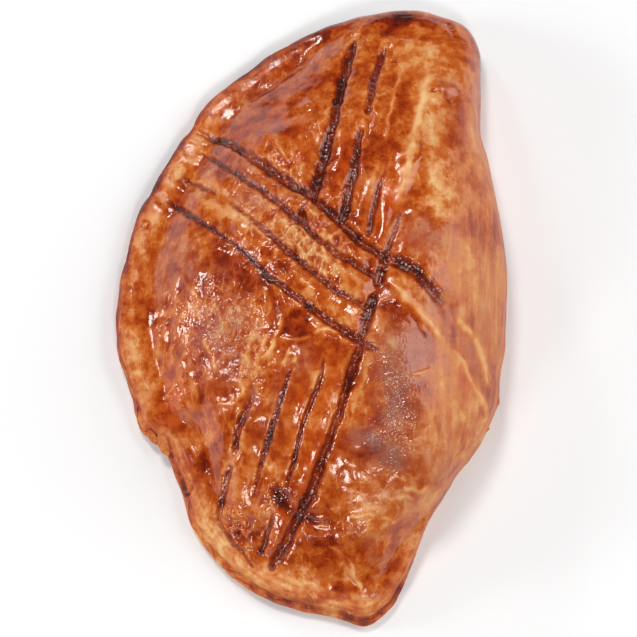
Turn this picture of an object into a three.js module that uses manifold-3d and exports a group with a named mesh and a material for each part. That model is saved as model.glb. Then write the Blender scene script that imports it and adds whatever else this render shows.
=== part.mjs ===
// A baked turnover of puff pastry: one sheet of dough folded over its filling, pressed shut
// along a curved rim, glazed with egg and scored in two crossing strokes with a fork.
// Millimetres, +Z up. +Y runs along its length, +X points to the folded edge, and the origin
// is the middle of the footprint.

import * as THREE from "three";
import { mergeVertices } from "three/addons/utils/BufferGeometryUtils.js";
import Module from "manifold-3d";

// ---------------------------------------------------------------- driving dimensions

const PEAK_HEIGHT = 34;
const CREST = new THREE.Vector2(13.9, -6.6); // highest point, where every section starts

// The outline seen from above: [degrees from +X, distance from the crest].
const OUTLINE = [
  [10, 37.2], [30, 42], [45, 48.7], [54, 55.4], [60, 62.3], [64, 71.5], [68, 83.5],
  [71, 87.8], [76, 89.8], [87, 88.3], [100, 83.2], [112, 78.2], [124, 74.5], [138, 69],
  [150, 67], [165, 65.2], [180, 64.4], [196, 62.5], [204, 63], [210, 60.5], [220, 62.3],
  [231, 68], [242, 72], [256, 73.9], [266, 74.6], [270, 75.6], [273, 73.6], [279, 65],
  [286, 55], [297, 46.8], [314, 42.2], [330, 39], [338, 36.9], [350, 36.5],
];

// The dome's level lines start near the crest as this rounder outline and turn into the true
// one towards the edge: [waves round the outline, cosine size, sine size]. A larger EDGE_PULL
// keeps the corners of the true outline nearer to the edge.
const ROUND_OUTLINE = [[0, 57.7, 0], [1, -13.7, 6.7], [2, -13.5, 1.9]];
const EDGE_PULL = 4;

// Four kinds of section run out from the crest. Each one rules an arc of the outline, in
// degrees. flat and steep shape the dome: a larger flat keeps the top level for longer, and a
// smaller steep makes the flank stand up. edge lists [distance inside the outline, height]
// from the foot of the dome round to the underside. Neighbours mix over EDGE_BLEND degrees to
// each side of where they meet, and their domes over DOME_BLEND.
const EDGE_BLEND = 10;
const DOME_BLEND = 27;
const SECTIONS = {
  fold: {
    arc: [284, 60], flat: 2.6, steep: 0.6,
    edge: [
      [0.6, 11.2], [0.25, 10.2], [0.05, 9.2], [0, 8.2], [0.4, 6.2], [1.2, 4.2], [2.6, 1.9], [5.2, 0],
    ],
  },
  bluntEnd: {
    arc: [60, 96], flat: 2.2, steep: 0.85,
    edge: [[3, 11.5], [1.8, 10.4], [0.8, 9.2], [0.2, 7.6], [0, 6], [0.3, 4], [1.2, 1.6], [3.2, 0]],
  },
  seam: {
    arc: [96, 196], flat: 2.3, steep: 1.15,
    edge: [[8.5, 8], [5.2, 6.8], [2.6, 6.4], [0.9, 5.8], [0.1, 4.4], [0, 3], [0.7, 1.1], [2.2, 0]],
  },
  openLip: {
    arc: [196, 284], flat: 2.3, steep: 1.1,
    edge: [[9, 7.6], [5.6, 6.4], [3.2, 5.8], [2.3, 4.6], [2, 3.3], [0.5, 2.7], [0, 1.5], [1.2, 0]],
  },
};

// Slow unevenness of the risen dough: [height, waves per mm along X, along Y, phase].
const WAVES = [[0.5, 0.03, 0.018, 0.4], [0.35, -0.021, 0.045, 2.1], [0.25, 0.062, 0.031, 4.0]];

// Blisters under the glaze: [x, y, radius, height].
const BLISTERS = [
  [16.2, -38.8, 4.5, 0.9], [7.6, -61.8, 4.0, 0.8], [36.2, 54.8, 5.0, 0.9],
  [-15.6, 57.6, 4.5, 0.6], [-38.5, 14.0, 5.5, 0.7], [30.0, 34.0, 6.5, 0.7],
];

// Fork strokes, one row for each groove: the points it passes in plan.
const SCORE_RADIUS = 1.2;
const ACROSS = [
  [[-28.5, 46.7], [-12.5, 33.5], [2.6, 20.7], [18.0, 5.8], [30.4, -3.0]],
  [[-30.1, 41.5], [-18.8, 31.8], [-6.8, 19.9], [4.8, 8.2], [15.7, 0.4]],
  [[-34.4, 35.2], [-23.9, 26.3], [-13.3, 16.1], [-2.1, 4.1], [13.0, -7.3]],
  [[-38.8, 30.0], [-26.1, 17.4], [-10.0, 1.6], [1.5, -8.8], [15.8, -17.7]],
];
const LENGTHWAYS = [
  [[11.0, 69.9], [5.3, 44.5], [-0.4, 18.4], [-8.6, -8.2], [-18.8, -38.8], [-23.1, -50.4]],
  [[18.5, 66.2], [14.0, 45.5], [9.6, 23.2], [1.9, -2.8], [-11.6, -39.8], [-14.5, -51.0]],
  [[22.5, 52.0], [17.3, 25.2], [6.6, -8.8], [-3.3, -40.5], [-12.5, -64.6]],
  [[27.2, 44.0], [20.1, 15.1], [9.0, -25.6], [-2.0, -56.1], [-9.6, -67.6]],
];
const NICK = [[-10.6, -50.4], [-5.4, -54.4], [-0.5, -57.4], [7.3, -58.9]];

// Creases where the dough buckled: beside the blunt end, and the pleat in the seam.
const CREASE_RADIUS = 0.9;
const CREASES = [
  [[13.8, 76.5], [20.1, 72.8], [26.6, 70.8], [33.5, 71.6]],
  [[29.5, 52.3], [32.9, 53.4], [35.5, 49.1]],
  [[-33.8, -49.4], [-30.0, -48.2], [-27.6, -45.6]],
];

// Flakes that lifted at the edge: [degrees, distance inside the outline, height, length,
// width, lean in degrees from level, turn in degrees].
const FLAKE_THICKNESS = 0.9;
const FLAKES = [
  [328, 0.1, 8.6, 6.0, 3.2, 78, 8], [318, 0.9, 9.8, 4.6, 3.0, 66, -14],
  [262, 3.4, 5.4, 5.2, 3.6, 14, 20], [205, 1.3, 2.4, 5.4, 4.2, 4, -12],
  [236, 6.2, 6.9, 6.4, 3.0, 12, 6],
];

// Mesh: spacing of points along the crust, and of the stations along a groove.
const SPACING = 3.15;
const DOME_RINGS = 21;
const STATION = 6.5;

const CRUST = { color: 0xb7663f, roughness: 0.45, metalness: 0 };

// ---------------------------------------------------------------- outline and sections

const { clamp, degToRad, euclideanModulo, lerp, smoothstep } = THREE.MathUtils;

// Distance from the crest to the outline: a smooth curve through the outline's points.
function outlineDistance(degrees) {
  const count = OUTLINE.length;
  const turned = euclideanModulo(degrees - OUTLINE[0][0], 360) + OUTLINE[0][0];
  let start = count - 1;
  while (OUTLINE[start][0] > turned) start -= 1;
  const at = (offset) => {
    const index = start + offset;
    const [angle, distance] = OUTLINE[euclideanModulo(index, count)];
    return [angle + 360 * Math.floor(index / count), distance];
  };
  const slope = ([x0, y0], [x1, y1], [x2, y2]) => {
    const before = (y1 - y0) / (x1 - x0);
    const after = (y2 - y1) / (x2 - x1);
    return (before * (x2 - x1) + after * (x1 - x0)) / (x2 - x0);
  };
  const [p0, p1, p2, p3] = [-1, 0, 1, 2].map(at);
  const gap = p2[0] - p1[0];
  const t = (turned - p1[0]) / gap;
  const startSlope = slope(p0, p1, p2) * gap;
  const endSlope = slope(p1, p2, p3) * gap;
  return (2 * t ** 3 - 3 * t ** 2 + 1) * p1[1] + (t ** 3 - 2 * t ** 2 + t) * startSlope
    + (3 * t ** 2 - 2 * t ** 3) * p2[1] + (t ** 3 - t ** 2) * endSlope;
}

// Distance from the crest to the rounder outline of the risen dome.
function roundDistance(degrees) {
  return ROUND_OUTLINE.reduce((sum, [waves, cosine, sine]) => {
    const angle = waves * degToRad(degrees);
    return sum + cosine * Math.cos(angle) + sine * Math.sin(angle);
  }, 0);
}

// How far a direction belongs to an arc, 0 to 1, with soft ends.
function shareOfArc(degrees, [from, to], blend) {
  const width = euclideanModulo(to - from, 360);
  const margin = (360 - width) / 2;
  const along = euclideanModulo(degrees - from + margin, 360) - margin;
  return smoothstep(along, -blend, blend) * (1 - smoothstep(along, width - blend, width + blend));
}

// The section in one direction, mixed from the kinds whose arcs reach it.
function sectionAt(degrees) {
  const kinds = Object.values(SECTIONS);
  const mixer = (blend) => {
    const shares = kinds.map(({ arc }) => shareOfArc(degrees, arc, blend));
    const total = shares.reduce((sum, share) => sum + share, 0);
    return (read) => kinds.reduce((sum, kind, i) => sum + read(kind) * shares[i] / total, 0);
  };
  const mixDome = mixer(DOME_BLEND);
  const mixEdge = mixer(EDGE_BLEND);
  return {
    reach: outlineDistance(degrees),
    round: roundDistance(degrees),
    flat: mixDome((kind) => kind.flat),
    steep: mixDome((kind) => kind.steep),
    foldShare: mixDome((kind) => (kind === SECTIONS.fold ? 1 : 0)),
    edge: SECTIONS.fold.edge.map((_, i) => [0, 1].map((axis) => mixEdge((kind) => kind.edge[i][axis]))),
  };
}

// ---------------------------------------------------------------- the crust's surface

function unevenness(x, y) {
  let height = 0;
  for (const [size, alongX, alongY, phase] of WAVES) {
    height += size * Math.sin(2 * Math.PI * (alongX * x + alongY * y) + phase);
  }
  for (const [centreX, centreY, radius, size] of BLISTERS) {
    height += size * Math.exp(-((x - centreX) ** 2 + (y - centreY) ** 2) / radius ** 2);
  }
  return height;
}

// The dome is crossed in shares, 0 at the crest and 1 at its foot.
function domeDistance({ reach, round, edge }, share) {
  return share * lerp(round, reach - edge[0][0], share ** EDGE_PULL);
}

function domeShare(section, distance) {
  let [low, high] = [0, 1];
  for (let halving = 0; halving < 20; halving += 1) {
    const middle = (low + high) / 2;
    if (domeDistance(section, middle) < distance) low = middle;
    else high = middle;
  }
  return (low + high) / 2;
}

function domeHeight(section, share, x, y) {
  const foot = section.edge[0][1];
  const rise = Math.max(0, 1 - share ** section.flat) ** section.steep;
  return foot + (PEAK_HEIGHT - foot) * rise + unevenness(x, y) * (1 - share ** 6);
}

// Height of the crust above any point inside the outline.
function crustHeight(x, y) {
  const fromCrest = new THREE.Vector2(x, y).sub(CREST);
  const section = sectionAt(THREE.MathUtils.radToDeg(fromCrest.angle()));
  const { edge, reach } = section;
  const distance = fromCrest.length();
  const inside = reach - distance;
  if (inside >= edge[0][0]) return domeHeight(section, domeShare(section, distance), x, y);
  for (let i = 1; i < edge.length; i += 1) {
    if (inside >= edge[i][0]) {
      const t = (edge[i - 1][0] - inside) / (edge[i - 1][0] - edge[i][0]);
      return lerp(edge[i - 1][1], edge[i][1], t);
    }
  }
  return edge[3][1];
}

// Directions spaced evenly along the outline: a share of its length gives degrees.
function evenDirections() {
  const samples = 720;
  const lengths = [0];
  const pointAt = (i) => {
    const degrees = i * 360 / samples;
    return new THREE.Vector2(outlineDistance(degrees), 0)
      .rotateAround(new THREE.Vector2(), degToRad(degrees));
  };
  for (let i = 1; i <= samples; i += 1) {
    lengths.push(lengths[i - 1] + pointAt(i).distanceTo(pointAt(i - 1)));
  }
  const perimeter = lengths[samples];
  const degreesAt = (share) => {
    const target = clamp(share, 0, 1) * perimeter;
    const next = Math.max(1, lengths.findIndex((length) => length >= target));
    const t = (target - lengths[next - 1]) / (lengths[next] - lengths[next - 1]);
    return (next - 1 + t) * 360 / samples;
  };
  return { perimeter, degreesAt };
}

// ---------------------------------------------------------------- the closed crust mesh

// Joins two rings of points, inner to outer, whatever their counts.
function joinRings(triangles, inner, outer) {
  let i = 0;
  let j = 0;
  const share = (ring, k) => (k + ring.offset) / ring.ids.length;
  const id = (ring, k) => ring.ids[k % ring.ids.length];
  while (i < inner.ids.length || j < outer.ids.length) {
    const stepInner = j >= outer.ids.length
      || (i < inner.ids.length && share(inner, i + 1) < share(outer, j + 1));
    if (stepInner) {
      triangles.push(id(inner, i), id(outer, j), id(inner, i + 1));
      i += 1;
    } else {
      triangles.push(id(inner, i), id(outer, j), id(outer, j + 1));
      j += 1;
    }
  }
}

// Rings run from the crest down the dome, round the edge and back under to the middle.
function crustGeometry() {
  const positions = [];
  const triangles = [];
  const { perimeter, degreesAt } = evenDirections();
  const fullCount = Math.round(perimeter / SPACING);

  const addRing = (count, offset, place) => {
    const ids = [];
    for (let k = 0; k < count; k += 1) {
      const degrees = degreesAt((k + offset) / count);
      positions.push(...place(degrees));
      ids.push(positions.length / 3 - 1);
    }
    return { ids, offset };
  };
  const placed = (degrees, distance, height) => {
    const angle = degToRad(degrees);
    return [CREST.x + distance * Math.cos(angle), CREST.y + distance * Math.sin(angle), height];
  };

  const rings = [];
  for (let ring = 1; ring <= DOME_RINGS; ring += 1) {
    const even = ring / DOME_RINGS;
    const count = Math.max(6, Math.round(fullCount * even));
    rings.push(addRing(count, (ring % 2) / 2, (degrees) => {
      const section = sectionAt(degrees);
      const crowded = Math.sin(even * Math.PI / 2); // steep flanks need rings near their foot
      const share = lerp(even, crowded, section.foldShare);
      const [x, y] = placed(degrees, domeDistance(section, share), 0);
      return [x, y, domeHeight(section, share, x, y)];
    }));
  }
  const edgeSteps = SECTIONS.fold.edge.length;
  for (let step = 1; step < edgeSteps; step += 1) {
    rings.push(addRing(fullCount, (step % 2) / 2, (degrees) => {
      const { reach, edge } = sectionAt(degrees);
      return placed(degrees, reach - edge[step][0], edge[step][1]);
    }));
  }
  for (const share of [0.78, 0.5, 0.22]) { // flat underside, with ever fewer points
    rings.push(addRing(Math.round(fullCount * share * 0.5), 0, (degrees) => {
      const { reach, edge } = sectionAt(degrees);
      return placed(degrees, share * (reach - edge[edgeSteps - 1][0]), 0);
    }));
  }

  const top = positions.length / 3;
  positions.push(CREST.x, CREST.y, PEAK_HEIGHT + unevenness(CREST.x, CREST.y));
  const middle = positions.length / 3;
  positions.push(CREST.x, CREST.y, 0);
  const first = rings[0].ids;
  const last = rings[rings.length - 1].ids;
  first.forEach((id, k) => triangles.push(top, id, first[(k + 1) % first.length]));
  for (let i = 1; i < rings.length; i += 1) joinRings(triangles, rings[i - 1], rings[i]);
  last.forEach((id, k) => triangles.push(middle, last[(k + 1) % last.length], id));

  const geometry = new THREE.BufferGeometry();
  geometry.setAttribute("position", new THREE.Float32BufferAttribute(positions, 3));
  geometry.setIndex(triangles);
  return geometry;
}

// ---------------------------------------------------------------- grooves and flakes

// A round bar laid along the crust. Its ends rise clear, so that the groove it cuts runs out.
function grooveGeometry(points, radius) {
  const plan = new THREE.CatmullRomCurve3(points.map(([x, y]) => new THREE.Vector3(x, y, 0)));
  const stations = Math.max(3, Math.round(plan.getLength() / STATION));
  const route = plan.getSpacedPoints(stations).map((point, i) => {
    const atEnd = i === 0 || i === stations;
    const height = crustHeight(point.x, point.y) + (atEnd ? radius * 1.15 : radius * 0.1);
    return new THREE.Vector3(point.x, point.y, height);
  });
  const section = new THREE.Shape().absarc(0, 0, radius, 0, 2 * Math.PI);
  return new THREE.ExtrudeGeometry(section, {
    extrudePath: new THREE.CatmullRomCurve3(route),
    steps: stations,
    curveSegments: 4,
    bevelEnabled: false,
  });
}

// A thin uneven scale of pastry, leaning out over the edge.
function flakeGeometry([degrees, inside, height, length, width, lean, turn]) {
  const corners = [[-0.5, -0.35], [-0.1, -0.5], [0.42, -0.4], [0.5, 0.1], [0.2, 0.5], [-0.38, 0.42]];
  const shape = new THREE.Shape(corners.map(([x, y]) => new THREE.Vector2(x * width, y * length)));
  const flake = new THREE.ExtrudeGeometry(shape, { depth: FLAKE_THICKNESS, bevelEnabled: false });
  flake.translate(0, 0, -FLAKE_THICKNESS / 2);
  flake.rotateZ(degToRad(turn));
  flake.rotateY(degToRad(lean));
  flake.translate(outlineDistance(degrees) - inside, 0, height);
  flake.rotateZ(degToRad(degrees));
  flake.translate(CREST.x, CREST.y, 0);
  return flake;
}

// ---------------------------------------------------------------- solids

const wasm = await Module();
wasm.setup();

function solidFrom(geometry) {
  geometry.deleteAttribute("normal");
  geometry.deleteAttribute("uv");
  const merged = mergeVertices(geometry);
  return new wasm.Manifold(new wasm.Mesh({
    numProp: 3,
    vertProperties: merged.attributes.position.array,
    triVerts: new Uint32Array(merged.index.array),
  }));
}

function geometryFrom(solid) {
  const { vertProperties, triVerts } = solid.getMesh();
  const geometry = new THREE.BufferGeometry();
  geometry.setAttribute("position", new THREE.BufferAttribute(vertProperties, 3));
  geometry.setIndex(new THREE.BufferAttribute(triVerts, 1));
  return geometry;
}

function buildPastry() {
  let solid = solidFrom(crustGeometry());
  for (const flake of FLAKES) solid = solid.add(solidFrom(flakeGeometry(flake)));
  for (const points of [...ACROSS, ...LENGTHWAYS, NICK]) {
    solid = solid.subtract(solidFrom(grooveGeometry(points, SCORE_RADIUS)));
  }
  for (const points of CREASES) {
    solid = solid.subtract(solidFrom(grooveGeometry(points, CREASE_RADIUS)));
  }
  const geometry = geometryFrom(solid);
  geometry.computeBoundingBox();
  const centre = geometry.boundingBox.getCenter(new THREE.Vector3());
  return geometry.translate(-centre.x, -centre.y, 0);
}

const pastry = new THREE.Mesh(buildPastry(), new THREE.MeshStandardMaterial(CRUST));
pastry.name = "pastry";

const model = new THREE.Group();
model.add(pastry);

export default model;
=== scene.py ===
"""The look of a baked turnover of puff pastry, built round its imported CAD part.

The crust is one closed skin. It starts as a flat grid whose rim is extruded into the sides and
the underside, and each of its points is then moved to its place on the risen dough. Lengths
here are millimetres in the plan of the part's source (+X to the folded edge, +Y to the blunt
end, +Z up), and they become metres when the points are moved. A number added to a place at
which noise is read only moves the noise, so that no two effects share it.
"""

import math

import bpy
import numpy as np
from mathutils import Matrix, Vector


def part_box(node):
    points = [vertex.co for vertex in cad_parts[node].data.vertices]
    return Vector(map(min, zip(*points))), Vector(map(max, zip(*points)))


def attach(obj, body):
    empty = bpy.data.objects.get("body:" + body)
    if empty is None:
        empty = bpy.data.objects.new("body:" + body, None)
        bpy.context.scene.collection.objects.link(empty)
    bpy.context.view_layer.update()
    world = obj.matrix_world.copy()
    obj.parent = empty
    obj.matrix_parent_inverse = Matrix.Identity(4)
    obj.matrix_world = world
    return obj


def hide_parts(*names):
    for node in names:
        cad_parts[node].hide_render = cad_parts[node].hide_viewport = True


bl_info = {
    "name": "Baked turnover",
    "version": (1, 0, 0),
    "blender": (4, 5, 0),
    "location": "3D View > Sidebar > Turnover",
    "description": "Builds the glazed, fork-scored crust of a puff pastry turnover",
    "category": "Add Mesh",
}

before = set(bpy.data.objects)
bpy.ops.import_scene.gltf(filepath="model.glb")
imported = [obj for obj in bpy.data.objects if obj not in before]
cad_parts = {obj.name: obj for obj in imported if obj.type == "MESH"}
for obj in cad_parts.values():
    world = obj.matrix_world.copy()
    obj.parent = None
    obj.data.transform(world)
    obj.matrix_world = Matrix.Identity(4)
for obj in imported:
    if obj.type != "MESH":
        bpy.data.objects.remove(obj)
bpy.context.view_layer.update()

MM = 0.001

# ---------------------------------------------------------------- the studio

IMAGE_WIDTH = 637  # pixels
FOCAL_LENGTH = 2426.6  # pixels
SENSOR_WIDTH = 36
CAMERA_ELEVATION = 76  # degrees
CAMERA_DISTANCE = 620
CAMERA_TARGET = (1.98, -5.50, 14.0)
WORLD_LIGHT = 0.08
SOFTBOXES = [
    # name, direction from the part, distance and width in metres, power in watts
    ("softbox left", (-0.95, 0.06, 0.32), 0.90, 0.20, 2.3),
    ("softbox behind", (-0.19, 0.44, 0.878), 0.95, 0.20, 3.1),
    ("softbox behind left", (-0.50, 0.74, 0.45), 0.95, 0.12, 1.1),
    ("softbox front", (0.16, -0.59, 0.79), 0.90, 0.16, 1.9),
    ("softbox front left", (-0.56, -0.74, 0.36), 0.95, 0.19, 2.0),
    ("softbox right", (0.80, 0.15, 0.58), 1.10, 0.80, 6.9),
]

# ---------------------------------------------------------------- the risen dough, in plan

PEAK_HEIGHT = 34.0
CREST = np.array([13.9, -6.6])  # top of the dome

# The outline seen from above: degrees from +X, distance from the crest.
OUTLINE = [
    (10, 37.2), (30, 42), (45, 48.7), (54, 55.4), (60, 62.3), (64, 71.5), (68, 83.5),
    (71, 87.8), (76, 89.8), (87, 88.3), (100, 83.2), (112, 78.2), (124, 74.5), (138, 69),
    (150, 67), (165, 65.2), (180, 64.4), (196, 62.5), (204, 63), (210, 60.5), (220, 62.3),
    (231, 68), (242, 72), (256, 73.9), (266, 74.6), (270, 75.6), (273, 73.6), (279, 65),
    (286, 55), (297, 46.8), (314, 42.2), (330, 39), (338, 36.9), (350, 36.5),
]
# The rounder outline that the dome's level lines start from: waves, cosine size, sine size.
ROUND_OUTLINE = [(0, 57.7, 0), (1, -13.7, 6.7), (2, -13.5, 1.9)]
EDGE_PULL = 4  # how late the level lines turn from the round outline to the true one
EDGE_BLEND = 10  # degrees over which one kind of edge becomes the next
DOME_BLEND = 27  # the same for the dome

# Kinds of section: arc in degrees, flat, steep, and the edge as (inside the outline, height)
# from the foot of the dome round to the underside. brink is the place on that edge, counted in
# its points, where the top of the crust turns into its side.
SECTIONS = {
    "fold": dict(
        arc=(284, 60), flat=2.6, steep=0.6, brink=1,
        edge=[(0.6, 11.2), (0.25, 10.2), (0.05, 9.2), (0, 8.2), (0.4, 6.2), (1.2, 4.2),
              (2.6, 1.9), (5.2, 0)],
    ),
    "blunt end": dict(
        arc=(60, 96), flat=2.2, steep=0.85, brink=2,
        edge=[(4.6, 10.9), (3.3, 9.9), (2.2, 8.7), (1.5, 7.3), (1.2, 5.8), (1.4, 4), (2.2, 1.6),
              (4.2, 0)],
    ),
    "seam": dict(
        arc=(96, 196), flat=2.3, steep=1.15, brink=3,
        edge=[(8.5, 8), (5.2, 6.8), (2.6, 6.4), (0.9, 5.8), (0.1, 4.4), (0, 3), (0.7, 1.1),
              (2.2, 0)],
    ),
    "open lip": dict(
        arc=(196, 284), flat=2.3, steep=1.1, brink=4,
        edge=[(9, 7.6), (5.6, 6.4), (3.2, 5.8), (2.3, 4.6), (2, 3.3), (0.5, 2.7), (0, 1.5),
              (1.2, 0)],
    ),
}
# Low waves over the dough: height, waves to the mm along X and along Y, phase.
WAVES = [(0.5, 0.03, 0.018, 0.4), (0.35, -0.021, 0.045, 2.1), (0.25, 0.062, 0.031, 4.0)]
# Wide blisters: x, y, radius, height.
RISEN_BLISTERS = [
    (16.2, -38.8, 4.5, 0.9), (7.6, -61.8, 4.0, 0.8), (36.2, 54.8, 5.0, 0.9),
    (-15.6, 57.6, 4.5, 0.6), (-38.5, 14.0, 5.5, 0.7), (30.0, 34.0, 6.5, 0.7),
]

# ---------------------------------------------------------------- marks in the crust

# Fork scores: points of (x, y, half width, darkness). Darkness 0 is a bridge of whole crust.
SCORES = {
    "across 1": [
        (-33.0, 49.0, 0.5, 0.1), (-28.3, 46.4, 0.7, 0.5), (-22.2, 42.1, 0.9, 1.0),
        (-12.3, 32.6, 1.25, 1.0), (-2.5, 24.2, 1.1, 1.0), (2.6, 20.0, 0.9, 0.9),
        (7.5, 15.2, 1.0, 1.0), (12.3, 9.9, 1.15, 1.0), (18.2, 5.4, 1.1, 1.0),
        (22.4, 3.8, 1.25, 1.0), (26.4, 1.6, 1.35, 1.0), (30.6, -3.1, 1.2, 0.8),
        (34.0, -6.8, 1.0, 0.2),
    ],
    "across 2": [
        (-31.5, 42.5, 0.4, 0.2), (-26.5, 38.5, 0.5, 0.6), (-22.9, 34.6, 0.5, 0.9),
        (-14.1, 26.6, 0.7, 1.0), (-10.0, 22.8, 0.9, 1.0), (-6.6, 19.3, 0.7, 0.9),
        (0.8, 11.3, 0.65, 1.0), (5.0, 7.8, 0.8, 1.0), (10.1, 4.2, 0.85, 1.0),
        (15.9, 0.3, 0.6, 0.8),
    ],
    "across 3": [
        (-34.4, 35.4, 0.4, 0.3), (-30.5, 31.7, 0.5, 0.8), (-27.8, 29.4, 0.6, 1.0),
        (-25.2, 27.2, 0.4, 0.5), (-22.8, 24.9, 0.3, 0.0), (-20.4, 22.8, 0.5, 0.6),
        (-13.2, 15.4, 0.55, 0.9), (-9.9, 11.9, 0.7, 1.0), (-2.0, 4.2, 0.75, 1.0),
        (5.0, -2.2, 0.75, 1.0), (13.4, -7.6, 0.8, 0.9),
    ],
    "across 4": [
        (-38.6, 29.6, 0.4, 0.4), (-34.4, 25.0, 0.6, 0.9), (-30.0, 20.9, 0.75, 1.0),
        (-25.8, 17.2, 0.55, 1.0), (-16.2, 8.0, 0.5, 1.0), (-11.5, 2.6, 0.7, 1.0),
        (-7.7, -1.2, 0.7, 1.0), (1.7, -8.7, 0.85, 1.0), (11.1, -15.4, 1.05, 1.0),
        (15.4, -18.0, 0.7, 0.8), (17.0, -18.8, 0.4, 0.2),
    ],
    "lengthways 1": [
        (11.3, 70.4, 0.6, 0.6), (10.4, 66.5, 1.0, 1.0), (7.9, 56.5, 1.1, 1.0),
        (5.5, 43.7, 1.15, 1.0), (2.9, 32.9, 1.25, 1.0), (1.4, 24.4, 1.2, 1.0),
        (0.6, 20.5, 0.7, 0.4),
    ],
    "lengthways 2": [
        (19.0, 67.2, 0.5, 0.6), (18.2, 64.0, 0.85, 1.0), (16.7, 58.3, 0.85, 1.0),
        (14.6, 47.2, 0.8, 1.0), (14.0, 45.2, 0.5, 0.1), (13.2, 42.4, 0.5, 0.1),
        (12.4, 39.4, 0.8, 1.0), (10.6, 28.3, 1.0, 1.0), (8.6, 17.6, 1.1, 1.0),
        (7.8, 15.2, 0.6, 0.6),
    ],
    "lengthways 3": [
        (19.9, 33.0, 0.3, 0.2), (17.6, 24.9, 0.6, 0.7), (16.4, 20.4, 0.75, 0.8),
        (14.4, 12.6, 0.6, 0.7), (13.9, 11.2, 0.4, 0.2),
    ],
    "lengthways 4": [
        (22.6, 17.0, 0.4, 0.5), (21.0, 12.8, 0.7, 0.9), (18.9, 7.2, 0.7, 0.8),
        (18.4, 5.4, 0.9, 1.0), (17.8, 2.2, 1.1, 1.0), (16.8, -1.2, 1.0, 0.9),
        (16.4, -3.0, 0.5, 0.1), (16.0, -4.8, 0.9, 0.9), (14.4, -8.8, 1.3, 1.0),
        (13.0, -13.0, 1.2, 0.9), (12.4, -15.2, 0.8, 0.6),
    ],
    "lower 1": [
        (-14.6, -25.0, 0.7, 0.3), (-15.6, -29.8, 0.9, 0.5), (-17.9, -35.0, 0.9, 0.8),
        (-18.9, -40.2, 0.8, 0.8), (-19.6, -42.6, 0.4, 0.0), (-20.6, -44.8, 0.7, 0.7),
        (-22.3, -50.4, 0.8, 0.9), (-23.2, -54.6, 0.7, 0.7), (-22.5, -57.9, 0.6, 0.7),
        (-19.5, -62.0, 0.5, 0.8), (-16.9, -65.0, 0.4, 0.6), (-14.6, -68.2, 0.4, 0.4),
    ],
    "lower 2": [
        (-4.6, -21.5, 0.5, 0.5), (-6.5, -26.8, 0.6, 0.9), (-8.8, -33.6, 0.65, 1.0),
        (-10.6, -39.1, 0.65, 1.0), (-13.2, -46.9, 0.5, 0.8), (-14.5, -52.0, 0.4, 0.4),
    ],
    "lower 3": [
        (3.6, -19.0, 0.4, 0.3), (2.0, -26.2, 0.6, 0.8), (-0.6, -33.0, 0.6, 0.9),
        (-2.3, -37.6, 0.6, 0.7), (-4.2, -44.0, 0.6, 0.8), (-5.7, -49.0, 0.5, 0.5),
        (-6.6, -51.8, 0.3, 0.1),
    ],
    "lower 3 end": [
        (-9.2, -56.0, 0.4, 0.4), (-11.0, -61.1, 0.6, 0.9), (-12.4, -64.9, 0.7, 0.8),
    ],
    "lower 4": [
        (12.2, -17.6, 0.9, 0.8), (11.2, -20.4, 1.15, 1.0), (9.6, -25.8, 1.15, 1.0),
        (7.2, -33.0, 0.9, 1.0), (4.7, -39.3, 1.0, 1.0), (2.4, -45.6, 1.2, 1.0),
        (0.0, -51.7, 1.3, 1.0), (-2.4, -56.2, 1.1, 1.0), (-4.6, -60.0, 1.1, 1.0),
        (-7.4, -64.6, 1.15, 1.0), (-9.8, -68.4, 0.8, 0.9),
    ],
    "nick end": [
        (-1.0, -57.6, 0.5, 0.5), (2.0, -58.6, 0.5, 0.5), (7.5, -59.2, 0.4, 0.2),
    ],
}

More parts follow.
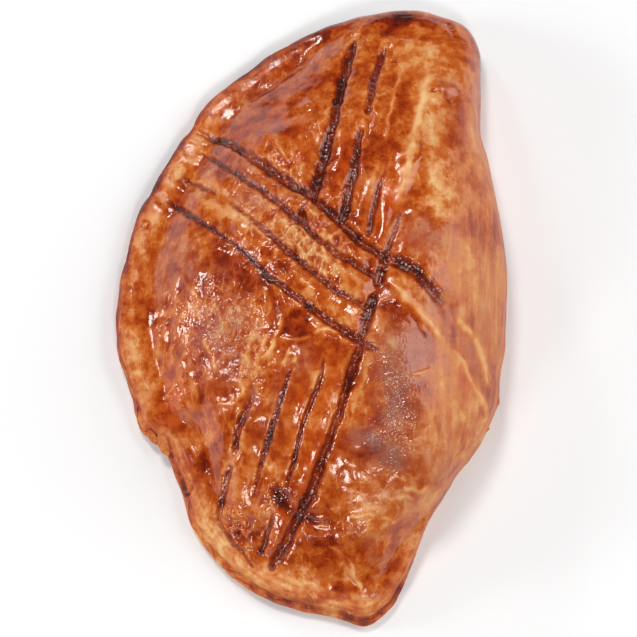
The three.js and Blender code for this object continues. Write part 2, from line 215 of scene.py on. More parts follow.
# Pale lines: (x, y) points, half width, paleness, height.
PALE_LINES = [
    ([(24.9, 62.5), (23.6, 59.0), (21.6, 52.5), (20.0, 44.0), (18.6, 34.8)], 0.4, 0.7, 0.35),
    ([(31.9, 63.6), (28.6, 50.0), (26.0, 37.5), (23.9, 27.0), (20.6, 15.6)], 1.15, 1.0, 0.5),
    ([(30.2, 49.0), (28.0, 38.0), (25.4, 26.5)], 0.4, 0.6, 0.3),
    ([(17.6, 32.6), (16.8, 30.0), (15.6, 25.8), (15.0, 20.0)], 0.4, 0.8, 0.3),
    ([(-11.6, 20.6), (-4.0, 12.2), (3.0, 5.6), (9.4, 0.6), (15.6, -3.4)], 0.75, 0.75, 0.3),
    ([(34.6, -6.4), (36.6, -8.6), (39.0, -10.9), (42.2, -15.2), (43.8, -21.4), (45.1, -25.6)],
     0.8, 1.0, 0.5),
    ([(17.2, -2.4), (19.7, -1.3), (23.9, -4.9), (27.3, -8.7), (31.5, -12.9), (34.6, -16.3)],
     0.75, 1.0, 0.45),
    ([(33.6, -15.3), (38.1, -20.0), (40.5, -25.4), (43.0, -28.4), (43.9, -32.3), (42.4, -36.1)],
     0.75, 0.95, 0.4),
    ([(31.0, -22.5), (33.3, -27.3), (36.5, -31.3), (40.6, -36.0)], 0.5, 0.9, 0.4),
    ([(24.4, -24.3), (27.4, -23.7), (30.6, -22.2)], 0.45, 0.7, 0.25),
    ([(25.9, -29.3), (28.2, -32.1), (30.5, -36.2), (31.4, -41.4)], 0.6, 0.6, 0.2),
    ([(8.6, -57.5), (11.2, -57.2), (14.4, -56.9), (17.0, -57.6)], 0.45, 0.9, 0.3),
    ([(16.3, -57.1), (19.8, -58.1), (22.0, -58.4)], 0.35, 0.9, 0.2),
    ([(19.8, -58.3), (16.6, -60.3)], 0.35, 0.7, 0.2),
    ([(16.6, -53.8), (19.1, -53.0), (21.4, -53.5), (23.6, -52.4), (26.6, -53.0)], 0.4, 0.9, 0.25),
    ([(22.6, -51.6), (25.0, -50.6), (27.6, -51.2), (29.4, -49.6)], 0.4, 0.9, 0.25),
    ([(19.6, -49.2), (21.6, -48.3), (24.6, -48.8)], 0.3, 0.7, 0.15),
    ([(36.4, -44.6), (34.4, -48.3), (31.0, -51.8), (27.9, -55.3), (27.4, -57.6)], 0.6, 0.6, 0.2),
    ([(8.7, -66.2), (10.6, -68.2), (11.0, -70.8), (12.6, -72.6), (12.8, -75.4)], 0.5, 0.8, 0.2),
    ([(-2.5, -72.1), (0.7, -72.5), (2.0, -74.0)], 0.45, 0.8, 0.2),
    ([(3.9, -73.8), (5.2, -72.5)], 0.4, 0.8, 0.2),
    ([(5.2, -55.8), (8.0, -55.5)], 0.4, 0.6, 0.15),
    ([(6.8, -60.7), (7.3, -63.6)], 0.35, 0.5, 0.15),
    ([(-9.1, -70.3), (-3.3, -71.9), (-1.2, -74.1)], 0.5, 0.6, 0.2),
    ([(-33.4, -21.7), (-36.5, -24.5), (-36.9, -26.3)], 0.6, 0.6, 0.35),
    ([(-34.2, -24.0), (-33.0, -26.5), (-33.6, -29.0)], 0.5, 0.5, 0.3),
    ([(-32.1, 0.3), (-30.6, -4.0), (-28.7, -8.0)], 0.35, 0.5, 0.2),
    ([(-27.3, -10.6), (-24.6, -18.1), (-23.0, -22.1)], 0.5, 0.8, 0.25),
    ([(-16.6, -17.4), (-17.4, -22.9), (-16.7, -26.4), (-18.4, -29.2), (-19.0, -30.9)],
     0.5, 0.9, 0.3),
    ([(-14.5, -11.0), (-15.2, -16.0), (-16.4, -21.0)], 0.45, 0.8, 0.3),
    ([(-10.2, -12.6), (-12.6, -18.0), (-13.8, -22.4)], 0.45, 0.8, 0.3),
    ([(-18.6, -31.2), (-15.4, -31.6), (-13.2, -31.0)], 0.45, 0.7, 0.3),
    ([(-19.0, -30.9), (-17.4, -34.4), (-18.2, -40.4), (-21.4, -47.0)], 0.45, 0.7, 0.3),
    ([(-23.6, -28.7), (-20.0, -30.0)], 0.3, 0.8, 0.2),
    ([(-18.4, -22.6), (-12.0, -23.2)], 0.4, 0.6, 0.2),
    ([(-8.4, -14.2), (-3.6, -15.2), (1.4, -14.6)], 0.45, 0.6, 0.25),
    ([(-12.6, 0.2), (-10.2, -5.4), (-11.4, -10.6)], 0.4, 0.6, 0.25),
    ([(-6.6, -7.4), (-8.4, -13.4), (-12.0, -21.6)], 0.6, 0.9, 0.5),
    ([(0.1, -14.0), (4.6, -13.0), (7.6, -14.2)], 0.5, 0.8, 0.4),
    ([(-4.8, -16.6), (-6.0, -19.6), (-7.3, -22.7)], 0.5, 1.0, 0.6),
    ([(-3.4, -18.1), (-4.8, -23.0), (-5.8, -27.7)], 0.45, 0.9, 0.4),
    ([(14.5, -17.6), (12.9, -25.7), (9.4, -34.9)], 0.7, 0.6, 0.35),
    ([(-33.6, 30.6), (-28.0, 26.0), (-21.6, 20.6), (-15.4, 14.6)], 0.6, 0.5, 0.3),
    ([(-5.0, -21.4), (-7.6, -28.8), (-10.0, -35.6), (-12.8, -43.4)], 0.35, 0.7, 0.3),
    ([(34.2, 20.6), (34.8, 23.6), (33.4, 26.0)], 0.35, 0.6, 0.25),
    ([(36.8, 27.2), (34.8, 24.2)], 0.35, 0.5, 0.2),
    ([(38.4, 77.0), (39.4, 72.4)], 0.5, 0.5, 0.2),
    ([(-13.6, 42.4), (-9.6, 40.0), (-7.4, 36.0), (-6.2, 31.6)], 0.55, 0.5, 0.5),
    ([(-17.6, 34.2), (-13.0, 30.4)], 0.4, 0.4, 0.25),
]

# Dark creases: (x, y) points, half width, darkness, depth.
CREASES = [
    ([(13.9, 75.4), (17.6, 73.6), (20.3, 72.6), (26.8, 70.8), (33.7, 71.2)], 1.3, 0.40, 0.25),
    ([(36.1, 76.7), (37.2, 73.6), (38.2, 70.0)], 0.4, 0.5, 0.4),
    ([(30.4, 53.0), (32.4, 53.2)], 0.45, 0.9, 0.5),
    ([(33.1, 53.9), (34.4, 51.9), (36.2, 49.0)], 0.4, 0.7, 0.6),
    ([(-32.6, -49.4), (-30.0, -48.4), (-29.9, -46.6)], 0.3, 0.6, 0.4),
    ([(20.6, 62.9), (22.4, 62.7)], 0.4, 0.7, 0.3),
    ([(2.6, 31.4), (5.2, 32.4), (7.6, 33.6)], 0.4, 0.5, 0.3),
    ([(24.3, -8.6), (27.0, -12.0)], 0.5, 0.3, 0.3),
    ([(17.4, -7.0), (20.2, -6.2), (22.4, -7.4)], 0.6, 0.6, 0.5),
    ([(25.8, -11.6), (28.6, -15.2)], 0.4, 0.5, 0.2),
    ([(28.6, 41.6), (27.8, 37.0), (27.0, 32.0)], 0.3, 0.6, 0.3),
    # Painted shadow: the darkness of the next crease is the shadow beside the raised pale edge that runs
    # with it. The crease is cut in as well.
    ([(30.6, -21.8), (32.4, -26.3), (35.4, -29.5), (36.8, -31.4), (40.5, -35.5)], 0.35, 0.5, 0.5),
    ([(-44.6, 27.6), (-41.8, 31.6), (-38.4, 36.4)], 0.5, 0.4, 0.3),
    ([(29.0, -65.2), (30.4, -64.8)], 0.6, 0.9, 0.6),
    ([(-26.0, -44.8), (-27.8, -39.8), (-30.4, -36.2)], 0.5, 0.3, 0.5),
]

# Bumps and blisters: (x, y, radius across, radius along, turn in degrees, height).
BUMPS = [
    (-1.2, 51.4, 4.6, 4.0, 20, 0.35), (-16.8, 54.0, 1.6, 1.3, 20, 0.5),
    (-1.0, 49.8, 1.3, 1.1, 0, 0.55), (-8.4, 38.6, 6.2, 5.4, 10, 0.8),
    (-5.0, 21.4, 1.7, 2.1, 30, 0.7), (-3.2, 17.2, 1.4, 1.8, 0, 0.5),
    (2.4, 14.6, 1.9, 1.9, 0, 1.0), (-0.6, 18.4, 0.9, 1.5, 20, 0.5), (4.4, 11.6, 1.5, 1.2, 40, 0.5),
    (-5.2, 9.6, 1.5, 1.9, 30, 0.7), (5.8, 3.0, 1.8, 1.3, -30, 0.6), (-11.4, 7.8, 1.6, 1.8, 0, 0.7),
    (-8.0, 4.8, 1.3, 1.9, 25, 0.6), (-3.6, 1.6, 2.0, 1.7, 0, 0.6), (1.4, -2.8, 1.7, 1.6, 0, 0.5),
    (7.2, -6.6, 1.1, 1.4, 0, 0.35), (-14.6, 10.6, 1.5, 1.7, 30, 0.45), (9.4, 8.6, 1.6, 2.4, 30, 0.4),
    (12.6, 4.2, 2.2, 1.6, -30, 0.4), (-18.6, 15.4, 1.8, 1.4, -40, 0.4), (11.8, -3.6, 2.2, 1.2, -35, 0.3),
    (-19.6, -59.4, 2.6, 4.6, 25, 1.3), (-8.2, -59.0, 2.8, 6.0, -14, 0.9), (-13.6, -58.4, 1.4, 4.8, -16, 0.8),
    (-20.4, -55.6, 1.2, 1.0, 0, 0.5), (-17.4, -62.4, 1.2, 1.0, 0, 0.4),
    (12.9, -39.4, 3.4, 3.9, 0, 0.4), (12.7, -41.0, 0.8, 0.7, 0, 0.35),
    (-16.6, -8.6, 1.6, 1.4, 0, 0.4), (-15.6, -12.4, 1.5, 1.6, 0, 0.4), (-20.4, -9.0, 4.0, 4.4, 0, 0.3),
    (-4.4, -19.2, 1.2, 1.6, -20, 0.5), (-24.0, -33.6, 3.4, 4.2, 0, 0.4), (-31.0, -42.0, 3.6, 2.4, -50, 0.6),
    (-33.6, -27.0, 3.2, 4.6, 20, 0.5), (18.2, 20.8, 2.0, 8.0, -12, 0.5), (6.9, 30.2, 1.8, 9.0, -13, 0.4),
    (22.0, -3.0, 2.8, 1.5, -40, 0.5), (37.2, -25.6, 2.4, 4.8, 14, 0.5), (40.4, -31.0, 1.9, 3.8, 20, 0.4),
    (36.2, 54.6, 3.0, 1.7, -15, 0.5), (17.4, -28.0, 2.2, 8.0, -8, 0.3), (30.4, -65.0, 1.4, 1.2, 0, 0.4),
]
# Small pits with a pale middle and a dark ring: x, y, radius, depth.
PITS = [(-43.4, 21.6, 0.8, 0.35), (29.6, -65.0, 0.9, 0.5), (-37.2, -41.4, 0.7, 0.3)]
# Dark hollows between the bumps where the strokes cross: x, y, rx, ry, turn, depth, darkness.
HOLLOWS = [
    (-7.6, -53.0, 1.9, 3.0, 48, 0.8, 0.7), (-3.2, -12.6, 2.8, 4.0, 8, 0.4, 0.6),
    (-1.6, 16.4, 1.0, 2.2, 20, 0.9, 0.8), (0.8, 10.6, 1.1, 1.4, 0, 0.6, 0.5),
    (-11.0, 7.6, 1.4, 1.2, 0, 0.7, 0.6), (-6.6, 3.4, 0.8, 2.0, 25, 0.6, 0.5),
    (-8.9, -8.4, 1.3, 3.9, 8, 0.5, 0.3), (14.6, 3.4, 1.6, 0.9, -30, 0.3, 0.5),
    (6.0, -0.6, 1.2, 1.8, 20, 0.3, 0.4), (-17.6, -60.0, 0.8, 2.6, 20, 0.4, 0.4),
    (19.0, -7.4, 2.0, 1.1, -10, 0.4, 0.6), (10.4, -57.8, 0.5, 0.4, 0, 0.2, 0.3),
]

# Patches of the bake, and of painted reflection and painted glints, by kind: x, y, radius across, radius
# along, turn in degrees, strength.
PATCHES = {
    "golden": [  # thinly glazed dough
        (-1.4, 51.0, 3.8, 5.0, 0, 0.5), (-32.7, 38.4, 6.1, 2.4, 40, 0.8),
        (-19.9, 20.1, 8.7, 2.1, -38, 0.9), (-27.3, 30.9, 4.6, 1.8, -35, 0.6),
        (28.1, 64.6, 7.7, 5.3, 0, 0.7), (13.4, 54.0, 1.5, 2.4, 0, 0.6), (31.0, 35.2, 3.3, 15.2, 6, 1.0),
        (-46.2, -11.0, 3.1, 10.0, 0, 0.2), (-41.6, -22.3, 3.6, 4.0, 0, 0.2),
        (-29.5, 14.9, 4.1, 1.6, -15, 0.7), (29.1, 73.3, 3.8, 1.1, 0, 0.8),
        (40.2, 1.3, 2.0, 7.4, 8, 0.6), (43.7, 21.3, 1.3, 2.6, 0, 0.6), (25.4, -3.2, 6.6, 1.3, -45, 0.6),
        (32.3, -15.2, 5.1, 1.1, -45, 0.5), (9.2, -21.6, 2.6, 2.4, 0, 0.6),
        (-2.4, -15.6, 5.1, 1.1, -10, 0.5), (-2.5, -71.2, 7.7, 2.1, -15, 0.8),
        (-22.3, -64.1, 4.1, 9.0, 35, 0.8), (-28.0, -36.5, 2.8, 1.6, 0, 0.7),
        (-36.9, -3.7, 2.3, 1.8, 0, 0.8), (-15.0, -4.5, 1.5, 2.6, 0, 0.4),
        (-16.2, -22.5, 1.5, 5.3, 0, 0.5), (-19.6, -43.0, 2.0, 6.8, -15, 0.5),
        (-8.7, -46.5, 1.5, 10.5, -15, 0.4), (14.0, 11.9, 1.5, 2.6, -25, 0.6),
        (2.5, 3.8, 6.6, 1.3, -38, 0.6), (9.9, -2.9, 4.6, 1.6, -38, 0.8),
        (21.4, 25.9, 1.3, 10.5, -12, 0.4), (-34.3, -51.4, 1.5, 2.6, 0, 0.4),
        (15.3, -13.9, 2.0, 3.2, 0, 0.6), (18.5, -18.9, 2.0, 4.7, 0, 0.5),
        (12.4, -29.4, 1.5, 6.6, -12, 0.4), (-49.4, 6.4, 1.3, 3.7, 0, 0.4),
        (20.0, -56.0, 11.0, 14.0, 20, 0.45), (29.0, 55.0, 6.0, 17.0, -4, 0.35),
        (37.0, 62.0, 4.0, 10.0, 10, 0.3),
    ],
    "cream": [  # bare dough
        (29.3, -52.6, 2.0, 2.9, -20, 0.7), (-10.1, -72.3, 6.1, 1.3, -25, 0.8),
        (-25.6, -54.5, 1.0, 2.9, 15, 0.8), (-26.5, -61.9, 2.6, 5.3, 35, 0.4),
        (-36.9, -3.7, 1.3, 1.1, 0, 0.6), (5.0, -78.5, 2.6, 1.3, -20, 0.7),
        (40.5, -31.2, 3.1, 5.3, 0, 0.5), (31.4, 34.8, 1.4, 13.5, 5, 0.8),
        (-42.2, -37.6, 1.8, 3.6, 30, 0.9),
    ],
    "orange": [  # thick clear glaze
        (37.3, -25.8, 2.3, 4.7, -14, 0.9), (34.0, -36.4, 1.8, 5.8, 20, 0.7),
        (1.3, -42.5, 2.0, 11.1, -18, 0.7), (-9.1, 44.7, 10.2, 6.8, 35, 0.4),
        (8.9, 31.9, 2.3, 9.5, -12, 0.5), (19.1, 20.4, 2.3, 9.0, -12, 0.9),
        (25.5, 10.5, 3.1, 2.4, 0, 0.7), (-6.5, -60.2, 2.6, 4.2, 0, 0.7),
        (-35.0, -26.6, 2.8, 5.8, 0, 0.7), (11.2, -11.2, 2.0, 2.1, 0, 0.4),
        (2.0, 13.7, 2.0, 1.6, 0, 0.4), (27.2, -43.6, 2.6, 6.6, 30, 0.4),
        (17.3, -40.0, 7.7, 3.2, 0, 0.2), (5.0, -25.9, 2.0, 6.6, -12, 0.5),
        (-2.4, -30.5, 1.8, 7.9, -14, 0.5), (-2.6, 34.4, 2.3, 4.2, 10, 0.5),
    ],
    "mahogany": [  # well browned
        (-18.1, 3.3, 11.2, 4.0, -40, 0.9), (-16.0, 56.7, 7.7, 3.2, 35, 0.5),
        (7.0, 56.9, 2.3, 11.1, -14, 0.3), (-27.9, -30.1, 2.0, 5.8, 0, 0.8),
        (-21.0, -33.4, 3.6, 4.0, 0, 0.5), (-16.4, -61.8, 2.6, 4.7, 25, 0.7),
        (3.3, -62.6, 3.6, 2.4, 0, 0.8), (8.1, -73.7, 3.6, 1.3, 0, 0.5),
        (-4.8, -69.7, 3.6, 1.3, -15, 0.7), (12.9, -39.4, 3.3, 4.0, 0, 0.9),
        (-40.0, 32.9, 2.0, 7.4, -35, 0.8), (-36.0, 21.2, 2.6, 4.7, -20, 0.5),
        (21.4, -63.5, 7.7, 6.8, 0, 0.2), (25.0, 76.3, 8.7, 1.6, 0, 0.9),
        (-2.8, 71.9, 11.8, 1.6, 33, 0.8), (-8.9, -8.2, 1.5, 4.0, 0, 0.8),
        (-17.4, -18.2, 2.6, 7.9, 0, 0.3), (-48.0, -1.7, 1.0, 10.5, 0, 0.5),
        (-31.9, -41.0, 3.1, 4.7, -50, 0.5), (-24.0, -44.4, 3.6, 5.3, 0, 0.4),
        (13.0, 62.4, 2.6, 2.6, 0, 0.2), (23.3, 58.9, 3.6, 6.8, 0, 0.15),
        (19.1, 43.2, 4.1, 9.0, -12, 0.4), (-3.2, -12.4, 3.0, 4.6, 8, 1.0),
        (5.0, -65.1, 7.7, 7.9, 0, 0.15), (-38.6, -0.1, 2.6, 5.3, 0, 0.4),
        (7.5, -53.9, 7.7, 3.7, 0, 0.15), (21.1, -49.0, 5.6, 3.7, 0, 0.25),
        (-2.5, -63.8, 5.6, 3.7, 0, 0.3), (-5.4, 64.8, 7.2, 5.3, 25, 0.4),
        (36.5, -15.5, 1.8, 8.0, 33, 0.7), (27.0, -16.0, 3.0, 7.0, 40, 0.35),
        (9.5, 27.0, 6.5, 10.0, -12, 0.5), (-10.0, 52.0, 13.0, 15.0, 35, 0.3),
    ],
    "scorch": [  # nearly burnt
        (21.5, 77.0, 11.0, 2.6, -3, 1.0), (3.5, 73.8, 7.0, 2.0, 30, 0.8),
        (-12.0, 65.4, 10.0, 1.7, 36, 0.6), (-7.6, -53.0, 2.0, 3.6, 48, 1.0),
        (-0.6, -57.6, 2.4, 1.2, 0, 0.5), (24.6, 3.0, 3.6, 1.3, -35, 0.5),
        (14.2, -8.6, 1.6, 3.6, -15, 0.6),
    ],
    # Painted reflection: the next patches paint a purplish sheen of reflected light into the colour.
    "purple": [  # a purplish sheen
        (-33.9, 8.2, 5.1, 6.8, 0, 0.7), (-21.0, -12.8, 7.7, 10.0, 0, 0.8),
        (-18.0, 32.3, 6.1, 2.4, -38, 0.8), (24.7, -17.8, 6.1, 5.3, -30, 0.8),
        (41.1, -18.0, 2.0, 7.9, 22, 0.8), (18.9, -3.8, 2.0, 1.6, 0, 0.8),
        (36.2, 54.6, 2.8, 1.8, -10, 0.8), (12.9, -39.4, 3.6, 3.7, 0, 0.9),
        (18.8, -43.4, 5.6, 4.0, 0, 0.8), (11.0, -60.3, 2.3, 1.8, 0, 0.8),
        (15.3, -62.9, 2.0, 2.1, 0, 0.6), (17.6, -66.6, 2.0, 1.8, 0, 0.7),
        (-14.6, -28.4, 1.3, 5.3, 0, 0.7), (28.5, 10.9, 6.1, 4.7, 0, 0.8),
        (-15.2, 22.5, 4.6, 1.8, -38, 0.6), (29.9, -5.5, 4.6, 2.6, -45, 0.7),
        (-18.6, 55.4, 6.1, 3.7, 35, 0.2), (37.2, 41.8, 6.1, 13.2, 0, 0.3),
        (32.3, -46.5, 5.6, 3.7, 0, 0.5), (-20.2, -59.2, 2.0, 3.7, 0, 0.3),
        (-2.4, -20.7, 3.1, 3.7, 0, 0.5), (-8.6, -30.3, 2.0, 10.5, -15, 0.4),
        (22.5, -53.4, 7.7, 5.3, 0, 0.4), (-22.7, 3.0, 5.6, 3.7, -40, 0.3),
        (44.1, -10.6, 3.1, 15.8, 0, 0.5), (41.7, 18.0, 3.1, 15.8, 12, 0.3),
    ],
    # Glittering grains: bumps that glint, with painted grey glints and a painted dull purple reflection over
    # them.
    "specks": [  # grey glittering grains
        (20.5, -26.0, 5.0, 11.0, 10, 0.8), (21.2, -30.9, 3.8, 9.0, 0, 1.0),
        (21.3, -44.0, 3.6, 2.4, 0, 0.8), (16.8, -39.6, 3.2, 2.6, -20, 1.0),
    ],
    "crackle": [  # glaze that crinkled and glitters
        (-20.5, -9.0, 8.5, 11.0, 20, 1.0), (-31.0, -6.0, 6.0, 5.0, 0, 0.5),
        (0.0, 10.5, 13.0, 9.0, -52, 1.0), (2.0, 22.0, 5.0, 7.5, 20, 1.0),
        (-18.5, 31.5, 7.0, 2.4, -38, 0.6), (-15.0, 22.0, 9.0, 2.4, -38, 0.5),
        (-7.0, 30.0, 6.0, 5.0, -38, 0.6), (-19.0, -58.5, 4.0, 6.0, 20, 1.0),
        (-8.0, -52.0, 5.0, 4.0, 0, 0.8), (20.5, -36.0, 5.5, 12.0, 0, 0.5),
        (24.7, -17.8, 6.0, 5.0, -30, 0.15), (11.5, -60.5, 2.6, 2.2, 0, 0.7),
        (-14.0, -20.0, 6.0, 7.0, 0, 0.5), (-35.5, -27.0, 2.6, 5.0, 0, 0.6),
        (27.0, -1.0, 5.0, 3.0, -45, 0.5),
    ],
}
BAKES = {"golden": 0.30, "mahogany": -0.32, "cream": 0.34}  # how much paler a patch is baked
PALEST, DARKEST = 0.34, 0.25  # the most that these patches together can do
PATCH_MASKS = tuple(kind for kind in PATCHES if kind not in BAKES)  # kinds with a mask each

# Where the dough crumpled under the fork: x, y, radius across, radius along, turn, height.
CRUMPLES = [
    (0.0, 10.5, 13.0, 8.5, -52, 1.0), (-7.5, 31.0, 7.0, 5.5, -30, 0.55),
    (-20.5, -9.0, 8.5, 10.0, 20, 0.35), (-18.5, -59.5, 4.5, 6.5, 20, 0.5),
    (-9.0, -58.0, 6.0, 6.0, 0, 0.25), (20.6, -32.0, 5.0, 10.0, 0, 0.2),
    (-13.0, -20.0, 6.0, 6.0, 0, 0.3),
]

# Small flakes: direction from the crest, inset, height, length along the edge, width, lean, turn.
SMALL_FLAKES = [
    (328, 0.4, 9.4, 4.4, 1.8, 62, 8), (318, 0.8, 9.8, 3.4, 1.6, 50, -14),
    (330, 0.5, 7.4, 3.0, 1.4, 70, 20), (263, 3.0, 5.6, 3.4, 1.8, 10, 20),
    (259, 4.2, 6.2, 2.6, 1.5, 8, -35), (267, 2.4, 5.0, 2.0, 1.4, 14, 50),
    (210, 0.8, 4.6, 5.6, 2.4, 20, -12), (207, 0.6, 3.4, 4.2, 2.0, 10, 16),
]

# Mesh of the crust: cells across and along, and rings down the side and across the underside.
CELLS_ACROSS = 224
CELLS_ALONG = 360
SIDE_RINGS = 10
UNDERSIDE_RINGS = (0.86, 0.55, 0.25)
GRID_CENTRE = np.array([2.0, -2.0])
FIRST_CORNER = 302.0  # degrees, seen from the crest, of the grid's lower right corner
HALVINGS = 18  # steps of the search for the level line through a place
EDGE_STEPS = 24  # straight steps that stand for the curve of the edge
CLIMB_WEIGHT = 0.7  # how much a climb counts in the even spacing of the points

# Strengths and sizes of the marks.
SCORE_WIDTH = 0.88  # half width of a groove for each mm drawn
HIGH_LIP, LOW_LIP = 0.24, 0.10  # lips beside the scores, low where they run lengthways
PUFF = 0.50  # how far the dough rose between the scores
WIDE_CREASE = 0.8  # half width from which a crease has no lips
SMALL_BUMP = 2.2  # radius below which a bump has a pale rim
RING_RADIUS = 62  # of the ring that the rim's noise is read round
LEAF_STEP = 1.7  # width of the leaves of dough that step back at the open lip
LAYER_WAVE = 3.4  # waves of the layered side: radians to the mm
LEFT_DOME = (-24, -12, 17, 26)  # where the glaze wrinkled most: x, y, radius across and along
FLAKE_THICKNESS = 0.14
# Values kept at the points for the material, besides one for each kind of patch.
MASKS = (
    "bake", "score", "groove_shade", "lip", "pale", "crease", "slit", "leaf", "matte", "crest", "edge",
)


# ---------------------------------------------------------------- small maths

def smooth_step(value, low, high):
    """0 below low, 1 above high and smooth between them."""
    share = np.clip((value - low) / (high - low), 0, 1)
    return share * share * (3 - 2 * share)


def mix(low, high, share):
    """The value a share of the way from low to high."""
    return low + (high - low) * share


def bell(value, power=2, fall=1.0):
    """1 in the middle, falling to 0 on both sides."""
    return np.exp(-fall * value ** power)


def smooth_between(t, start, out, end, into):
    """A smooth way from start to end that leaves and arrives at the slopes out and into."""
    return (
        (2 * t ** 3 - 3 * t ** 2 + 1) * start + (t ** 3 - 2 * t ** 2 + t) * out
        + (3 * t ** 2 - 2 * t ** 3) * end + (t ** 3 - t ** 2) * into
    )


def ways(degrees):
    """Directions in plan, as rows of x and y."""
    angle = np.radians(degrees)
    return np.stack([np.cos(angle), np.sin(angle)], 1)


class Unevenness:
    """Smooth noise from a seeded table: each call gives lumps of the size asked for."""

    def __init__(self, seed):
        random = np.random.default_rng(seed)
        self.order = random.permutation(256)
        slopes = random.normal(size=(256, 3))
        self.slopes = slopes / np.linalg.norm(slopes, axis=1)[:, None]

    def __call__(self, points, size):
        place = np.asarray(points, float) / size
        cell = np.floor(place).astype(int)
        inside = place - cell
        fade = inside ** 3 * (inside * (inside * 6 - 15) + 10)
        total = np.zeros(len(place))
        for corner in np.ndindex(2, 2, 2):
            corner = np.array(corner)
            at = (cell + corner) & 255
            key = self.order[(self.order[(self.order[at[:, 0]] + at[:, 1]) & 255] + at[:, 2]) & 255]
            value = np.einsum("ij,ij->i", self.slopes[key], inside - corner)
            weight = np.prod(np.where(corner == 1, fade, 1 - fade), axis=1)
            total += value * weight
        return total * 1.6

    def ridges(self, points, size, width):
        """Thin lines, 1 at their middle, that wander and join like folds in a thin skin."""
        return np.clip(1 - np.abs(self(points, size)) / width, 0, 1) ** 2

    def rough(self, points, size, layers):
        """Several sizes of lump on top of each other."""
        total = np.zeros(len(points))
        for layer in range(layers):
            total += self(points + 17.3 * layer, size / 2 ** layer) / 2 ** layer
        return total


# ---------------------------------------------------------------- the shape of the dough

def outline_table(step=0.25):
    """Distance from the crest to the outline for every step of a turn."""
    angles, reaches = np.array(OUTLINE, float).T
    angles = np.concatenate([angles[-2:] - 360, angles, angles[:3] + 360])
    reaches = np.concatenate([reaches[-2:], reaches, reaches[:3]])
    slopes = np.zeros(len(angles))
    gaps = np.diff(angles)
    rises = np.diff(reaches) / gaps
    slopes[1:-1] = (rises[:-1] * gaps[1:] + rises[1:] * gaps[:-1]) / (gaps[1:] + gaps[:-1])
    turned = np.arange(0, 360, step)
    wrapped = np.where(turned < OUTLINE[0][0], turned + 360, turned)
    start = np.searchsorted(angles, wrapped, side="right") - 1
    end = start + 1
    gap = gaps[start]
    t = (wrapped - angles[start]) / gap
    return turned, smooth_between(
        t, reaches[start], slopes[start] * gap, reaches[end], slopes[end] * gap
    )


TURNS, REACHES = outline_table()


def outline_distance(degrees):
    """Distance from the crest to the outline in a direction."""
    return np.interp(np.mod(degrees, 360), TURNS, REACHES, period=360)


def share_of_arc(degrees, arc, blend):
    """How far a direction belongs to an arc, with soft ends."""
    width = (arc[1] - arc[0]) % 360
    margin = (360 - width) / 2
    along = np.mod(degrees - arc[0] + margin, 360) - margin
    return smooth_step(along, -blend, blend) * (1 - smooth_step(along, width - blend, width + blend))


def sections_at(degrees):
    """The mixed section of the dough in each direction."""
    kinds = list(SECTIONS.values())

    def shares(blend):
        """How much of each kind of section there is in each direction."""
        each = np.array([share_of_arc(degrees, kind["arc"], blend) for kind in kinds])
        return each / each.sum(0)

    def mixed(name, weights):
        """A number of the sections, mixed."""
        return np.tensordot(np.array([kind[name] for kind in kinds], float), weights, 1)

    dome = shares(DOME_BLEND)
    edge = shares(EDGE_BLEND)
    angle = np.radians(degrees)
    return {
        "reach": outline_distance(degrees),
        "round": sum(
            cosine * np.cos(waves * angle) + sine * np.sin(waves * angle)
            for waves, cosine, sine in ROUND_OUTLINE
        ),
        "flat": mixed("flat", dome),
        "steep": mixed("steep", dome),
        "brink": mixed("brink", edge),
        "edge": np.einsum("kn,kij->nij", edge, np.array([kind["edge"] for kind in kinds])),
    }


def edge_point(edge, index):
    """Inset and height on the edge, smooth between its points. index may be a fraction."""
    last = edge.shape[1] - 1
    low = np.clip(np.floor(index).astype(int), 0, last - 1)
    rows = np.arange(len(edge))
    before = edge[rows, np.maximum(low - 1, 0)]
    start = edge[rows, low]
    end = edge[rows, low + 1]
    after = edge[rows, np.minimum(low + 2, last)]
    t = (index - low)[:, None]
    return smooth_between(t, start, (end - before) / 2, end, (after - start) / 2)


def slow_unevenness(x, y):
    """The low waves and wide blisters that the CAD part has too."""
    height = np.zeros(len(x))
    for size, along_x, along_y, phase in WAVES:
        height += size * np.sin(2 * np.pi * (along_x * x + along_y * y) + phase)
    for centre_x, centre_y, radius, size in RISEN_BLISTERS:
        height += size * np.exp(-((x - centre_x) ** 2 + (y - centre_y) ** 2) / radius ** 2)
    return height


def crust_height(x, y):
    """Height of the smooth crust above places in plan, and how far inside the outline they lie."""
    from_crest = np.stack([x, y], 1) - CREST
    degrees = np.degrees(np.arctan2(from_crest[:, 1], from_crest[:, 0]))
    distance = np.hypot(*from_crest.T)
    section = sections_at(degrees)
    edge = section["edge"]
    low = np.zeros(len(x))
    high = np.ones(len(x))
    for _ in range(HALVINGS):
        middle = (low + high) / 2
        reached = middle * mix(section["round"], section["reach"] - edge[:, 0, 0], middle ** EDGE_PULL)
        low = np.where(reached < distance, middle, low)
        high = np.where(reached < distance, high, middle)
    share = (low + high) / 2
    foot = edge[:, 0, 1]
    rise = np.maximum(0, 1 - share ** section["flat"]) ** section["steep"]
    height = foot + (PEAK_HEIGHT - foot) * rise + slow_unevenness(x, y) * (1 - share ** 6)
    inside = section["reach"] - distance
    previous = edge_point(edge, np.zeros(len(x)))
    for step in np.linspace(0, 1, EDGE_STEPS + 1)[1:]:
        current = edge_point(edge, step * (section["brink"] + 0.3))
        within = (inside <= previous[:, 0]) & (inside > current[:, 0])
        gap = np.maximum(previous[:, 0] - current[:, 0], 1e-6)
        share_along = (previous[:, 0] - inside) / gap
        height = np.where(within, mix(previous[:, 1], current[:, 1], share_along), height)
        previous = current
    height = np.where((inside <= previous[:, 0]) & (inside < edge[:, 0, 0]), previous[:, 1], height)
    return height, inside, degrees


